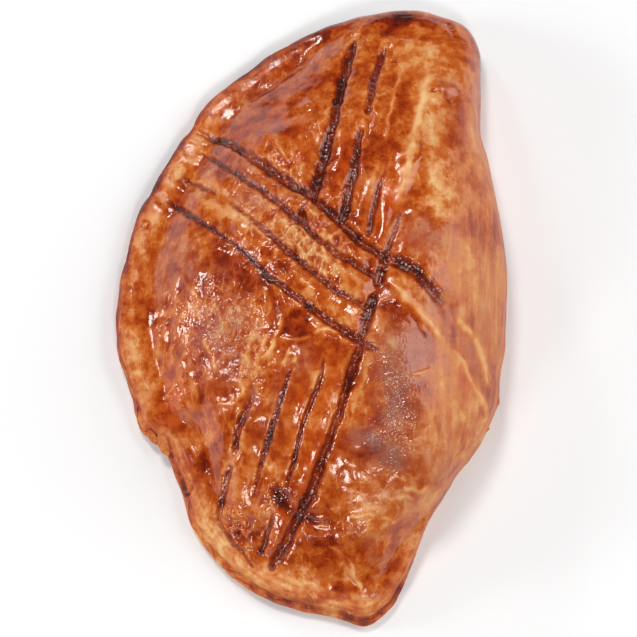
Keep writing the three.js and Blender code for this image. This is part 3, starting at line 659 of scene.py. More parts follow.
def brink_table(count=1440):
    """Direction from the crest for each even share of the way round the outline."""
    degrees = np.linspace(0, 360, count + 1)
    points = outline_distance(degrees)[:, None] * ways(degrees)
    lengths = np.concatenate([[0], np.cumsum(np.hypot(*np.diff(points, axis=0).T))])
    return lengths / lengths[-1], degrees


SHARES_ROUND, DEGREES_ROUND = brink_table()


def degrees_round(share):
    """Direction from the crest at a share of the way round, counted from the first corner."""
    first = np.interp(FIRST_CORNER, DEGREES_ROUND, SHARES_ROUND)
    return np.interp(np.mod(share + first, 1), SHARES_ROUND, DEGREES_ROUND)


def edge_place(degrees, index):
    """Where a place on the edge lies: x, y and height."""
    section = sections_at(degrees)
    inset, height = edge_point(section["edge"], index).T
    return np.column_stack([CREST + (section["reach"] - inset)[:, None] * ways(degrees), height])


def way_round(square):
    """Share of the way round the square grid's rim, by cells, of the ray through each point."""
    size = np.maximum(np.abs(square).max(1), 1e-9)
    u, v = (square / size[:, None]).T
    total = 2 * (CELLS_ACROSS + CELLS_ALONG)
    right = (v + 1) / 2 * CELLS_ALONG
    top = CELLS_ALONG + (1 - u) / 2 * CELLS_ACROSS
    left = CELLS_ALONG + CELLS_ACROSS + (1 - v) / 2 * CELLS_ALONG
    bottom = 2 * CELLS_ALONG + CELLS_ACROSS + (u + 1) / 2 * CELLS_ACROSS
    on_right = (u >= 1 - 1e-6) & (np.abs(v) <= 1)
    on_top = (v >= 1 - 1e-6) & ~on_right
    on_left = (u <= -1 + 1e-6) & ~on_top & ~on_right
    return np.select([on_right, on_top, on_left], [right, top, left], bottom) / total


def ray_table(rays=360, steps=120):
    """For each ray, the share of the plan that an even share of the crust's length takes."""
    degrees = degrees_round(np.arange(rays) / rays)
    rim = edge_place(degrees, sections_at(degrees)["brink"])
    even = np.linspace(0, 1, steps + 1)
    x = GRID_CENTRE[0] + np.outer(rim[:, 0] - GRID_CENTRE[0], even)
    y = GRID_CENTRE[1] + np.outer(rim[:, 1] - GRID_CENTRE[1], even)
    z = crust_height(x.ravel(), y.ravel())[0].reshape(x.shape)
    z[:, -1] = rim[:, 2]
    step = np.sqrt(np.diff(x) ** 2 + np.diff(y) ** 2 + CLIMB_WEIGHT * np.diff(z) ** 2)
    lengths = np.concatenate([np.zeros((rays, 1)), np.cumsum(step, 1)], 1)
    lengths /= lengths[:, -1:]
    table = np.array([np.interp(even, row, even) for row in lengths])
    return np.concatenate([table, table[:1]])


def plan_share(table, share_round, share_out):
    """Reads the ray table between its rows and columns."""
    rays, steps = table.shape[0] - 1, table.shape[1] - 1
    row = share_round * rays
    column = share_out * steps
    i = np.clip(np.floor(row).astype(int), 0, rays - 1)
    j = np.clip(np.floor(column).astype(int), 0, steps - 1)
    near = mix(table[i, j], table[i, j + 1], column - j)
    far = mix(table[i + 1, j], table[i + 1, j + 1], column - j)
    return mix(near, far, row - i)


def plan_shift():
    """How far the CAD source moved its plan to put the middle of its box on the origin."""
    degrees = np.linspace(0, 360, 1440, endpoint=False)
    plan = CREST + outline_distance(degrees)[:, None] * ways(degrees)
    low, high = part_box("pastry")
    middle = np.array([low.x + high.x, low.y + high.y]) / 2 / MM
    return middle - (plan.min(0) + plan.max(0)) / 2


# ---------------------------------------------------------------- marks, measured from curves

def smooth_path(points, spacing=0.7):
    """A smooth curve through the points, whatever the number of their columns."""
    points = np.array(points, float)
    ends = np.concatenate([2 * points[:1] - points[1:2], points, 2 * points[-1:] - points[-2:-1]])
    path = [points[:1]]
    for i in range(1, len(ends) - 2):
        before, start, end, after = ends[i - 1:i + 3]
        count = max(2, int(np.hypot(*(end - start)[:2]) / spacing))
        t = np.linspace(0, 1, count + 1)[1:, None]
        path.append(smooth_between(t, start, (end - before) / 2, end, (after - start) / 2))
    return np.concatenate(path)


def near_curve(plan, points, margin):
    """Places within margin of a curve: their indices, distance, side, share along and columns."""
    path = smooth_path(points)
    low = path[:, :2].min(0) - margin
    high = path[:, :2].max(0) + margin
    near = np.flatnonzero(((plan > low) & (plan < high)).all(1))
    start, end = path[:-1], path[1:]
    way = (end - start)[:, :2]
    length2 = np.maximum((way ** 2).sum(1), 1e-9)
    from_start = plan[near][:, None] - start[None, :, :2]
    t = np.clip((from_start * way).sum(2) / length2, 0, 1)
    gap = from_start - t[..., None] * way
    distance = np.hypot(gap[..., 0], gap[..., 1])
    best = distance.argmin(1)
    rows = np.arange(len(near))
    nearest = distance[rows, best]
    keep = nearest < margin
    t = t[rows, best]
    side = np.sign(way[best, 0] * from_start[rows, best, 1] - way[best, 1] * from_start[rows, best, 0])
    share = (best + t) / len(way)
    columns = mix(start[best], end[best], t[:, None])[:, 2:]
    return near[keep], nearest[keep], side[keep], share[keep], columns[keep]


def oval(plan, x, y, across, along, turn):
    """Distance from the middle of an oval, 1 at its edge."""
    angle = math.radians(turn)
    offset = plan - np.array([x, y])
    right = offset[:, 0] * math.cos(angle) + offset[:, 1] * math.sin(angle)
    up = -offset[:, 0] * math.sin(angle) + offset[:, 1] * math.cos(angle)
    return np.hypot(right / across, up / along)


def soft_ends(share, length):
    """1 along a mark and 0 at its ends."""
    return smooth_step(share, 0, length) * (1 - smooth_step(share, 1 - length, 1))


class Crust:
    """Relief and browning of the crust at a set of places on its smooth surface."""

    def __init__(self, place, inside, degrees, resting, sizes):
        self.place = place
        self.plan = place[:, :2]
        self.inside = inside
        self.degrees = np.mod(degrees, 360)
        self.resting = resting
        self.sizes = sizes
        self.noise = Unevenness(41)
        self.relief = np.zeros(len(place))
        self.masks = {name: np.zeros(len(place)) for name in (*MASKS, *PATCH_MASKS)}
        self.warped = self.plan + 0.35 * self.wobble(4.5, 3.1, 71.7)
        self.warped_fine = self.warped + 0.16 * self.wobble(1.6, 13.1, 37.7)
        self.wavy = self.warped + 0.40 * self.wobble(2.8, 23.1, 57.7)

    def lumps(self, offset, size, rows=slice(None)):
        """Noise at some of the places, read at an offset of its own."""
        return self.noise(self.place[rows] + offset, size)

    def wobble(self, size, *offsets):
        """An uneven push along X and along Y."""
        return np.stack([self.lumps(offset, size) for offset in offsets], 1)

    def arc(self, start, end, blend=8):
        """How far each place belongs to a part of the rim."""
        return share_of_arc(self.degrees, (start, end), blend)

    def raise_mask(self, name, value, rows=slice(None)):
        """A mask keeps the strongest value that any mark gives a place."""
        self.masks[name][rows] = np.maximum(self.masks[name][rows], value)

    def scores(self):
        """The fork's grooves, with lips raised beside them and dough puffed up between them."""
        nearest = np.full(len(self.place), 9.0)
        for name, points in SCORES.items():
            rows, distance, _, _, columns = near_curve(self.warped_fine, points, 7.0)
            width, dark = columns.T
            width = SCORE_WIDTH * width * (1 + 0.22 * self.lumps(5, 1.9, rows))
            open_share = smooth_step(dark, 0.05, 0.75)
            across = distance / np.maximum(width, 0.2)
            groove = bell(across, 3.4, 0.6) * open_share
            depth = self.sizes.score_depth * np.clip(width, 0.4, 1.3)
            self.relief[rows] -= groove * depth * (1 + 0.25 * self.lumps(29, 1.6, rows))
            lip = bell((distance - width * 1.8) / (width * 0.55 + 0.15))
            lip *= (0.35 + 0.65 * open_share) * (0.7 + 0.6 * self.lumps(83, 3.0, rows))
            self.relief[rows] += (LOW_LIP if name.startswith("lengthways") else HIGH_LIP) * lip
            nearest[rows] = np.minimum(nearest[rows], distance)
            shade = smooth_step(dark, 0.0, 0.9) * (0.86 + 0.3 * self.lumps(77, 2.0, rows))
            self.raise_mask("score", bell(across, 2, 0.34) * shade, rows)
            # Painted shade: the walls of each groove are marked to be darkened where shade falls in them.
            self.raise_mask("groove_shade", bell((across - 0.95) / 0.38) * shade, rows)
            rough_wall = bell((across - 0.6) / 0.6) * open_share
            self.relief[rows] += 0.12 * rough_wall * self.lumps(63, 1.3, rows)
            self.raise_mask("lip", lip, rows)
        self.relief += PUFF * (smooth_step(nearest, 0.8, 3.4) - 1)

    def lines(self):
        """Pale ridges where the glaze split, and dark creases."""
        for points, width, paleness, height in PALE_LINES:
            rows, distance, _, share, _ = near_curve(self.wavy, points, 4 * width + 1)
            broken = 0.95 + 0.5 * self.lumps(31, 2.2, rows)
            ends = soft_ends(share, 0.22)
            swell = 1.15 * width * (0.45 + 0.65 * ends) * (1 + 0.5 * self.lumps(43, 2.6, rows))
            line = bell(distance / np.maximum(swell, 0.2))
            self.relief[rows] += line * height * ends
            self.raise_mask("pale", np.clip(line * paleness * ends * broken, 0, 1), rows)
        for points, width, darkness, depth in CREASES:
            rows, distance, side, share, _ = near_curve(self.warped_fine, points, 4 * width + 1)
            ends = soft_ends(share, 0.2)
            line = bell(distance / width)
            lip = bell((distance - 2.2 * width) / width) * (0.5 + 0.5 * side)
            lip_height = 0.35 * depth if width < WIDE_CREASE else 0.0
            self.relief[rows] += (lip_height * lip - line * depth) * ends
            self.raise_mask("crease", line * darkness * ends, rows)

    def bumps(self):
        """Blisters, hollows, pits and the crumples where the dough gave way under the fork."""
        for x, y, across, along, turn, height in BUMPS:
            reach = oval(self.warped, x, y, across, along, turn)
            self.relief += height * bell(reach, 2, 1.1)
            if max(across, along) < SMALL_BUMP:
                self.raise_mask("lip", 0.35 * bell((reach - 1.35) / 0.3))
        for x, y, across, along, turn, depth, darkness in HOLLOWS:
            dip = bell(oval(self.warped, x, y, across, along, turn), 3)
            self.relief -= depth * dip
            self.masks["bake"] -= 0.5 * darkness * dip
        for x, y, radius, depth in PITS:
            reach = oval(self.plan, x, y, radius, radius * 1.3, 0)
            self.relief -= depth * bell((reach - 1) / 0.45)
            self.raise_mask("crease", 0.9 * bell((reach - 1.1) / 0.35))
            self.raise_mask("pale", 0.8 * bell(reach / 0.6))
        wandering = np.concatenate([self.warped_fine, self.place[:, 2:]], 1)
        folds = self.noise.ridges(wandering + 7, 5.0, 0.26) - 0.20
        small_folds = self.noise.ridges(self.place + 11, 3.0, 0.30) - 0.20
        crumple = 1.35 * folds + 0.80 * small_folds - 0.10
        for x, y, across, along, turn, height in CRUMPLES:
            share = height * bell(oval(self.warped, x, y, across, along, turn), 4)
            share *= 1 - 0.7 * np.clip(self.masks["score"], 0, 1)
            self.relief += share * crumple
            self.masks["crest"] += share * crumple

    def patches(self):
        """Where the crust baked paler, redder or darker, and where reflection and glints are painted."""
        places = [self.place + offset for offset in (101.0, 151.0)]
        ragged = self.plan + 1.5 * np.stack([self.noise.rough(place, 5.0, 3) for place in places], 1)
        for kind, spots in PATCHES.items():
            for x, y, across, along, turn, strength in spots:
                patch = strength * bell(oval(ragged, x, y, across, along, turn), 2, 0.9)
                if kind in BAKES:
                    self.masks["bake"] += BAKES[kind] * patch
                else:
                    self.raise_mask(kind, patch)
        bake = self.masks["bake"]
        most = np.where(bake > 0, PALEST, DARKEST)
        self.masks["bake"] = most * np.tanh(bake / most)
        edge = 1 - smooth_step(self.inside, 0.2, 2.4)
        dark_edge = self.arc(66, 198) + 0.4 * self.arc(205, 300)
        self.masks["bake"] -= 0.42 * edge * dark_edge * (0.75 + 0.7 * self.lumps(201, 9.0))
        band = bell((self.inside - 3.6) / 1.4) * self.arc(100, 215)
        self.masks["bake"] += 0.16 * band * (0.6 + self.lumps(231, 7.0))

    def rim(self):
        """Leaves of dough at the pressed edge, and the folded side's calmer, matt skin."""
        ring = np.column_stack([RING_RADIUS * ways(self.degrees), np.zeros(len(self.place))])
        height = self.place[:, 2]
        seam = self.arc(98, 284)
        lip = self.arc(203, 280)
        wander = self.noise(ring + 60, 9.0) + 0.5 * self.noise(ring + 160, 3.5)
        leaf = (self.inside + 0.9 * wander) / LEAF_STEP
        step = leaf - np.floor(leaf)
        fade = lip * (1 - smooth_step(self.inside, 4.5, 8.0))
        self.relief += 0.34 * fade * (smooth_step(step, 0.0, 0.35) - step)
        slit = bell(np.minimum(step, 1 - step) / 0.12)
        broken = smooth_step(self.noise(ring + 260, 5.0), -0.25, 0.45)
        self.raise_mask("slit", fade * slit * broken)
        self.raise_mask("leaf", seam * (1 - smooth_step(self.inside, 1.0, 3.4)))
        self.raise_mask("leaf", lip * (1 - smooth_step(self.inside + 1.2 * wander, 3.2, 8.0)))
        self.raise_mask("leaf", seam * (1 - smooth_step(height, 4.0, 7.5)))
        edge = seam * (1 - smooth_step(self.inside, 0.5, 1.8)) * (1 - smooth_step(height, 5.0, 7.0))
        self.raise_mask("edge", edge)
        layer = height + 0.9 * self.noise(ring + 330, 8.0) + 0.3 * self.noise(ring + 390, 3.0)
        layers = edge * np.sin(layer * LAYER_WAVE)
        self.relief += 0.22 * layers
        self.masks["bake"] += 0.10 * layers
        streaks = np.column_stack([ring[:, :2], 9.0 * self.inside])
        self.masks["bake"] += 0.20 * self.masks["leaf"] * self.noise(streaks, 7.0)
        self.relief += seam * (1 - smooth_step(self.inside, 2.0, 7.0)) * 0.35 * self.noise(ring, 9.0)
        fold = self.arc(292, 62, 16) * (1 - smooth_step(self.inside, 12, 24))
        self.raise_mask("matte", fold)
        self.relief += fold * 0.10 * self.noise(self.place * [1.0, 0.22, 0.3], 1.6)

    def texture(self):
        """The finer unevenness of baked dough, from lumps down to wrinkles of the glaze."""
        calm = 1 - 0.65 * self.masks["matte"]
        self.relief += 0.42 * self.lumps(2, 13.0) + 0.24 * calm * self.lumps(23, 6.0)
        dome = bell(oval(self.plan, *LEFT_DOME, 0), 4)
        wrinkles = self.noise.ridges(self.place * [1, 0.55, 1] + 90, 5.0, 0.30)
        wrinkles *= smooth_step(self.lumps(95, 9.0), -0.5, 0.3)
        fine = 0.08 * calm * self.lumps(47, 2.9)
        fine += (0.06 + 0.16 * dome) * calm * (wrinkles - 0.2)
        fine += (0.03 + 0.07 * dome) * calm * self.lumps(19, 1.5)
        fine *= 1 - 0.8 * np.clip(-self.masks["bake"] / 0.2, 0, 1)
        self.relief += fine
        self.masks["crest"] += fine
        self.raise_mask("pale", 0.40 * wrinkles * calm * (0.5 + 0.5 * dome))

    def shape(self):
        """All the relief, flat again where the pastry rests."""
        self.scores()
        self.lines()
        self.bumps()
        self.patches()
        self.rim()
        self.texture()
        return self.relief * self.resting


# ---------------------------------------------------------------- mesh tools

def forget_selection():
    """Leaves object mode with nothing selected."""
    if bpy.context.object and bpy.context.object.mode != "OBJECT":
        bpy.ops.object.mode_set(mode="OBJECT")
    bpy.ops.object.select_all(action="DESELECT")


def points_of(mesh):
    """Points of a mesh as rows of x, y and z."""
    flat = np.zeros(len(mesh.vertices) * 3)
    mesh.vertices.foreach_get("co", flat)
    return flat.reshape(-1, 3)


def move_points(mesh, places):
    """Moves every point of a mesh to a place given in mm."""
    mesh.vertices.foreach_set("co", np.ascontiguousarray(places * MM, np.float32).ravel())
    mesh.update()


def normals_of(mesh):
    """Outward direction at every point of a mesh."""
    flat = np.zeros(len(mesh.vertices) * 3, np.float32)
    mesh.vertex_normals.foreach_get("vector", flat)
    return flat.reshape(-1, 3).astype(float)


def keep_mask(mesh, name, values):
    """Stores a value for every point, for the material to read."""
    attribute = mesh.attributes.new(name, "FLOAT", "POINT")
    attribute.data.foreach_set("value", np.ascontiguousarray(values, np.float32))


def turn_points(place, axis, degrees):
    """Turns points about an axis through the origin, anticlockwise as seen from its end."""
    angle = math.radians(degrees)
    first, second = (axis + 1) % 3, (axis + 2) % 3
    turned = place.copy()
    turned[:, first] = place[:, first] * math.cos(angle) - place[:, second] * math.sin(angle)
    turned[:, second] = place[:, first] * math.sin(angle) + place[:, second] * math.cos(angle)
    return turned


def join_pieces(pieces, name):
    """Makes one object of several."""
    forget_selection()
    for piece in pieces:
        piece.select_set(True)
    bpy.context.view_layer.objects.active = pieces[0]
    bpy.ops.object.join()
    joined = bpy.context.object
    joined.name = name
    joined.data.name = name
    return joined


def finish_piece(piece, material, angle):
    """Gives a piece its finish, smooths all but its sharp edges and lets it ride on the part."""
    piece.data.materials.clear()
    piece.data.materials.append(material)
    forget_selection()
    piece.select_set(True)
    bpy.context.view_layer.objects.active = piece
    bpy.ops.object.shade_smooth_by_angle(angle=math.radians(angle))
    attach(piece, "root")


# ---------------------------------------------------------------- materials

def paint(red, green, blue):
    """A colour as the eye names it, 0 to 255, turned into light."""
    return tuple(
        c / 12.92 if c <= 0.04045 else ((c + 0.055) / 1.055) ** 2.4
        for c in (red / 255, green / 255, blue / 255)
    )


class Nodes:
    """Adds nodes to a tree and joins them up."""

    def __init__(self, tree):
        self.tree = tree
        self.column = 0

    def add(self, kind, inputs=None, **settings):
        """Adds a node. Inputs are sockets to join or values to set."""
        node = self.tree.nodes.new(kind)
        self.column += 1
        node.location = (180 * (self.column % 12), -220 * (self.column // 12))
        for name, value in settings.items():
            setattr(node, name, value)
        for name, value in (inputs or {}).items():
            if isinstance(value, bpy.types.NodeSocket):
                self.tree.links.new(value, node.inputs[name])
            else:
                node.inputs[name].default_value = value
        return node

    def maths(self, operation, *values, clamp=False):
        """A Math node's result."""
        node = self.add("ShaderNodeMath", dict(enumerate(values)), operation=operation, use_clamp=clamp)
        return node.outputs[0]

    def times(self, value, *others):
        """The product of values."""
        for other in others:
            value = self.maths("MULTIPLY", value, other)
        return value

    def minus(self, value, other):
        """A value less another."""
        return self.maths("SUBTRACT", value, other)

    def rest(self, value):
        """What a value leaves of 1."""
        return self.minus(1.0, value)

    def swing(self, value):
        """A 0 to 1 value as a push of up to a half either way."""
        return self.minus(value, 0.5)

    def total(self, value, *terms):
        """The sum of a value and of (mask, strength) terms."""
        for mask, strength in terms:
            value = self.maths("ADD", value, self.times(mask, strength))
        return value

    def blend(self, low, high, share):
        """A colour between two colours."""
        low, high = (
            colour if isinstance(colour, bpy.types.NodeSocket) else (*colour[:3], 1)
            for colour in (low, high)
        )
        node = self.add("ShaderNodeMix", data_type="RGBA", clamp_factor=True)
        for index, value in ((0, share), (6, low), (7, high)):
            if isinstance(value, bpy.types.NodeSocket):
                self.tree.links.new(value, node.inputs[index])
            else:
                node.inputs[index].default_value = value
        return node.outputs[2]

    def between(self, value, low, high):
        """0 below low, 1 above high and smooth between them."""
        node = self.add(
            "ShaderNodeMapRange",
            {"Value": value, "From Min": low, "From Max": high},
            interpolation_type="SMOOTHSTEP",
        )
        return node.outputs["Result"]

    def mask(self, name):
        """A value stored at the points of the mesh."""
        return self.add("ShaderNodeAttribute", attribute_name=name).outputs["Fac"]

    def lumps(self, place, scale, detail=3.0, roughness=0.55, distortion=0.0):
        """Smooth noise, 0 to 1, of so many lumps to the mm."""
        node = self.add(
            "ShaderNodeTexNoise",
            {"Vector": place, "Scale": scale, "Detail": detail, "Roughness": roughness,
             "Distortion": distortion},
        )
        return node.outputs["Fac"]

    def millimetres(self, stretch=(1, 1, 1)):
        """The place on the piece, in mm of the row's frame."""
        place = self.add("ShaderNodeTexCoord").outputs["Object"]
        scale = [1000 * s for s in stretch]
        return self.add("ShaderNodeMapping", {"Vector": place, "Scale": scale}).outputs["Vector"]

    def ramp(self, value, steps):
        """A colour for a value, from (place, colour) steps."""
        node = self.add("ShaderNodeValToRGB", {"Fac": value})
        elements = node.color_ramp.elements
        while len(elements) < len(steps):
            elements.new(0.5)
        for element, (place, colour) in zip(elements, steps):
            element.position = place
            element.color = (*colour, 1)
        return node.outputs["Color"]

    def bumped(self, height, strength):
        """The normal that a height in mm gives."""
        inputs = {"Height": height, "Strength": strength, "Distance": MM}
        return self.add("ShaderNodeBump", inputs).outputs["Normal"]

    def surface(self, inputs):
        """Ends a material in one shader."""
        shader = self.add("ShaderNodeBsdfPrincipled", inputs)
        self.add("ShaderNodeOutputMaterial", {"Surface": shader.outputs[0]})


def new_group(name, inputs, outputs):
    """A shader node group with named sockets, its nodes, and what goes in and comes out."""
    tree = bpy.data.node_groups.new(name, "ShaderNodeTree")
    for kind, label, default in inputs:
        socket = tree.interface.new_socket(label, in_out="INPUT", socket_type=kind)
        if default is not None:
            socket.default_value = default
    for label in outputs:
        tree.interface.new_socket(label, in_out="OUTPUT", socket_type="NodeSocketFloat")
    nodes = Nodes(tree)
    given = nodes.add("NodeGroupInput").outputs
    result = nodes.add("NodeGroupOutput").inputs
    return tree, nodes, given, result


def new_material(name):
    """An empty material and its nodes."""
    material = bpy.data.materials.new(name)
    material.use_nodes = True
    material.node_tree.nodes.clear()
    return material, Nodes(material.node_tree)


def browning_group():
    """Uneven browning: broad tone, small mottles, pale flecks, dark flecks and fine veins."""
    tree, nodes, given, result = new_group(
        "Uneven browning",
        [("NodeSocketVector", "Place", None), ("NodeSocketFloat", "Coarseness", 1.0)],
        ("Tone", "Mottle", "Pale flecks", "Dark flecks", "Veins"),
    )
    scaled = nodes.add(
        "ShaderNodeVectorMath", {0: given["Place"], "Scale": given["Coarseness"]}, operation="SCALE"
    )
    place = scaled.outputs[0]
    tone = nodes.lumps(place, 0.10, 3, 0.5, 0.3)
    mottle = nodes.lumps(place, 0.32, 2, 0.5)
    pale = nodes.lumps(place, 1.25, 2, 0.6)
    dark = nodes.lumps(place, 0.95, 2, 0.6)
    drawn = nodes.add("ShaderNodeVectorMath", {0: place, 1: (1.0, 0.5, 0.7)}, operation="MULTIPLY")
    bent = nodes.lumps(drawn.outputs[0], 0.30, 2, 0.45, 0.2)
    fibre = nodes.maths("ABSOLUTE", nodes.minus(bent, 0.5))
    tree.links.new(nodes.between(tone, 0.32, 0.68), result["Tone"])
    tree.links.new(nodes.between(mottle, 0.34, 0.66), result["Mottle"])
    tree.links.new(nodes.between(pale, 0.56, 0.70), result["Pale flecks"])
    tree.links.new(nodes.between(dark, 0.56, 0.72), result["Dark flecks"])
    tree.links.new(nodes.rest(nodes.between(fibre, 0.0, 0.05)), result["Veins"])
    return tree


def leaf_group():
    """Leaves of dough seen edge on: ragged dark gaps at one height after another."""
    tree, nodes, given, result = new_group(
        "Leaves of dough",
        [("NodeSocketVector", "Place", None), ("NodeSocketFloat", "Leaves to the mm", 1.15)],
        ("Gap",),
    )
    split = nodes.add("ShaderNodeSeparateXYZ", {"Vector": given["Place"]})
    wander = nodes.lumps(given["Place"], 0.10, 3, 0.5)
    height = nodes.total(split.outputs["Z"], (wander, 5.0))
    part = nodes.maths("FRACT", nodes.times(height, given["Leaves to the mm"]))
    edge = nodes.maths("ABSOLUTE", nodes.minus(part, 0.5))
    ragged = nodes.lumps(given["Place"], 0.7, 2, 0.6)
    tree.links.new(nodes.between(nodes.total(edge, (ragged, 0.25)), 0.50, 0.62), result["Gap"])
    return tree


def crust_material(look, browning, leaves):
    """Egg-glazed crust: reddish brown and glossy, golden where thin, dark in the scores."""
    _, nodes = new_material("Glazed crust")
    place = nodes.millimetres()
    uneven = nodes.add("ShaderNodeGroup", {"Place": place, "Coarseness": 1.0}, node_tree=browning)
    tone, mottle, pale_flecks, dark_flecks, fibres = uneven.outputs
    layered = nodes.add(
        "ShaderNodeGroup", {"Place": place, "Leaves to the mm": 1.15}, node_tree=leaves
    )
    gap = nodes.times(layered.outputs["Gap"], nodes.mask("edge"))
    matte, leaf, score, groove_shade = (nodes.mask(name) for name in ("matte", "leaf", "score", "groove_shade"))
    specks, crackle, purple = (nodes.mask(name) for name in ("specks", "crackle", "purple"))
    streaks = nodes.lumps(nodes.millimetres((1.0, 0.13, 0.5)), 0.50, 3, 0.55)
    even = nodes.rest(nodes.times(matte, 0.35))
    veins = nodes.times(fibres, even, tone)
    crinkles = nodes.times(fibres, crackle)

    # How pale the crust is baked, from burnt to bare dough.
    baked = nodes.mask("bake")
    bake = nodes.total(
        nodes.maths("ADD", baked, look.bake),
        (nodes.swing(tone), nodes.total(0.17, (matte, 0.15))),
        (nodes.swing(mottle), nodes.times(even, 0.22)),
        (nodes.swing(streaks), nodes.total(0.16, (matte, 0.95))),
        (nodes.mask("crest"), nodes.total(0.28, (crackle, 0.14))),
        (pale_flecks, 0.11), (dark_flecks, -0.11), (veins, 0.13), (crinkles, 0.13),
        (nodes.mask("lip"), 0.18), (matte, 0.08), (leaf, 0.13), (nodes.mask("crease"), -0.40),
        (nodes.mask("slit"), -0.12), (gap, -0.16), (nodes.between(score, 0.05, 0.75), -0.30),
        (nodes.mask("scorch"), -0.25),
    )
    pale = nodes.times(nodes.mask("pale"), nodes.rest(nodes.between(score, 0.1, 0.8)))
    missing = nodes.minus(nodes.total(0.80, (pale, 0.26)), bake)
    bake = nodes.total(bake, (nodes.times(pale, missing), 0.85))
    bake = nodes.maths("MINIMUM", bake, nodes.minus(0.98, nodes.times(matte, 0.1)))
    colour = nodes.ramp(bake, [
        (0.0, look.burnt), (0.10, look.score_edge), (0.22, look.mahogany), (0.35, look.red_brown),
        (0.48, look.brown), (0.62, look.orange), (0.80, look.golden), (1.0, look.cream),
    ])

    # What lies over the bake: clear glaze, matt skin, a painted purplish reflection, grey grains with
    # painted glints, and painted shade on the groove walls.
    clear = nodes.times(nodes.mask("orange"), nodes.total(0.35, (mottle, 0.6)))
    colour = nodes.blend(colour, look.deep_orange, clear)
    glazed = nodes.rest(pale)
    folded = nodes.times(matte, glazed, nodes.total(0.05, (tone, 0.35)))
    colour = nodes.blend(colour, look.fold, folded)
    # Painted reflection: a purplish sheen of reflected light mixed into the colour of those patches.
    cast = nodes.times(purple, glazed, nodes.total(0.30, (mottle, 0.5)))
    colour = nodes.blend(colour, look.sheen, cast)
    grit = nodes.add("ShaderNodeTexVoronoi", {"Vector": place, "Scale": 1.5, "Randomness": 1.0})
    grains = nodes.rest(nodes.between(grit.outputs["Distance"], 0.10, 0.34))
    # Painted highlight: grey glints painted on the grains, over a painted dull purple reflection.
    painted_glint = nodes.times(nodes.between(specks, 0.4, 1.0), grains, nodes.total(0.5, (pale_flecks, 0.7)))
    colour = nodes.blend(colour, look.painted_dull_reflection, nodes.times(specks, 0.7))
    colour = nodes.blend(colour, look.painted_glint, nodes.times(painted_glint, 0.9))
    # Painted shade: the groove walls take the burnt colour where shade falls in them.
    burnt = nodes.maths("MULTIPLY", groove_shade, nodes.total(0.15, (mottle, 0.5)), clamp=True)
    colour = nodes.blend(colour, look.burnt, burnt)

    # Glossy where the glaze is thick, dull where the dough is bare.
    dull = nodes.times(nodes.between(bake, 0.50, 0.85), nodes.rest(crackle))
    roughness = nodes.total(
        0.11, (mottle, 0.05), (matte, 0.32), (leaf, 0.38), (dull, 0.24), (score, 0.10), (purple, 0.14)
    )

    # The finest relief, which makes the glaze glitter.
    glaze = nodes.rest(nodes.between(baked, -0.04, -0.2))
    ripples = nodes.times(nodes.lumps(place, 0.55, 1, 0.5), glaze, nodes.total(0.05, (crackle, 0.18)))
    glitter = nodes.total(0.01, (crackle, 0.22), (score, 0.15), (specks, 0.2))
    height = nodes.total(
        ripples, (nodes.lumps(place, 1.5, 0, 0.5), glitter), (streaks, 0.04), (veins, 0.02),
        (crinkles, 0.12), (nodes.times(grains, specks), 0.10), (gap, -0.16),
    )
    nodes.surface({
        "Base Color": colour, "Roughness": roughness, "Normal": nodes.bumped(height, look.relief),
        "IOR": 1.5, "Specular IOR Level": 0.6, "Specular Tint": (1.0, 0.92, 0.84, 1.0),
    })


def flake_material(look, browning):
    """Thin bare leaves of dough: golden cream, matt, browner in places."""
    _, nodes = new_material("Bare leaf")
    place = nodes.millimetres()
    uneven = nodes.add("ShaderNodeGroup", {"Place": place, "Coarseness": 1.6}, node_tree=browning)
    tone, mottle, pale_flecks, dark_flecks, _ = uneven.outputs
    colour = nodes.blend(look.orange, look.golden, tone)
    for other, share in ((look.cream, pale_flecks), (look.brown, mottle), (look.red_brown, dark_flecks)):
        colour = nodes.blend(colour, other, nodes.times(share, 0.5))
    height = nodes.maths("ADD", nodes.lumps(place, 1.4, 3, 0.6), mottle)
    nodes.surface({
        "Base Color": colour, "Roughness": nodes.total(0.5, (mottle, 0.2)),
        "Normal": nodes.bumped(height, 0.35), "Specular IOR Level": 0.35,
    })


def floor_material(look):
    """A pale, even tabletop with the faintest grain."""
    material, nodes = new_material("Pale tabletop")
    grain = nodes.lumps(nodes.millimetres(), 0.02, 3, 0.5)
    shaded = tuple(0.985 * c for c in look.floor)
    nodes.surface({"Base Color": nodes.blend(look.floor, shaded, grain), "Roughness": 0.9})
    return material


def pastry_material(name, look):
    """One of the pastry's two materials. Both are made at the first call."""
    if name not in bpy.data.materials:
        browning = browning_group()
        crust_material(look, browning, leaf_group())
        flake_material(look, browning)
    return bpy.data.materials[name]


# ---------------------------------------------------------------- sizes and colours

def colour_property(name, description, default):
    """A colour that the user can change."""
    return bpy.props.FloatVectorProperty(
        name=name, description=description, subtype="COLOR", size=3, min=0, max=1, default=default
    )


class TurnoverSizes(bpy.types.PropertyGroup):
    """Sizes of the marks in the crust."""

    score_depth: bpy.props.FloatProperty(
        name="Score depth", description="Depth of the fork scores for each mm of their width",
        default=1.0, min=0.2, max=2.0, subtype="FACTOR",
    )
    relief: bpy.props.FloatProperty(
        name="Relief", description="How strongly the crust's unevenness stands out",
        default=1.0, min=0.0, max=2.0, subtype="FACTOR",
    )


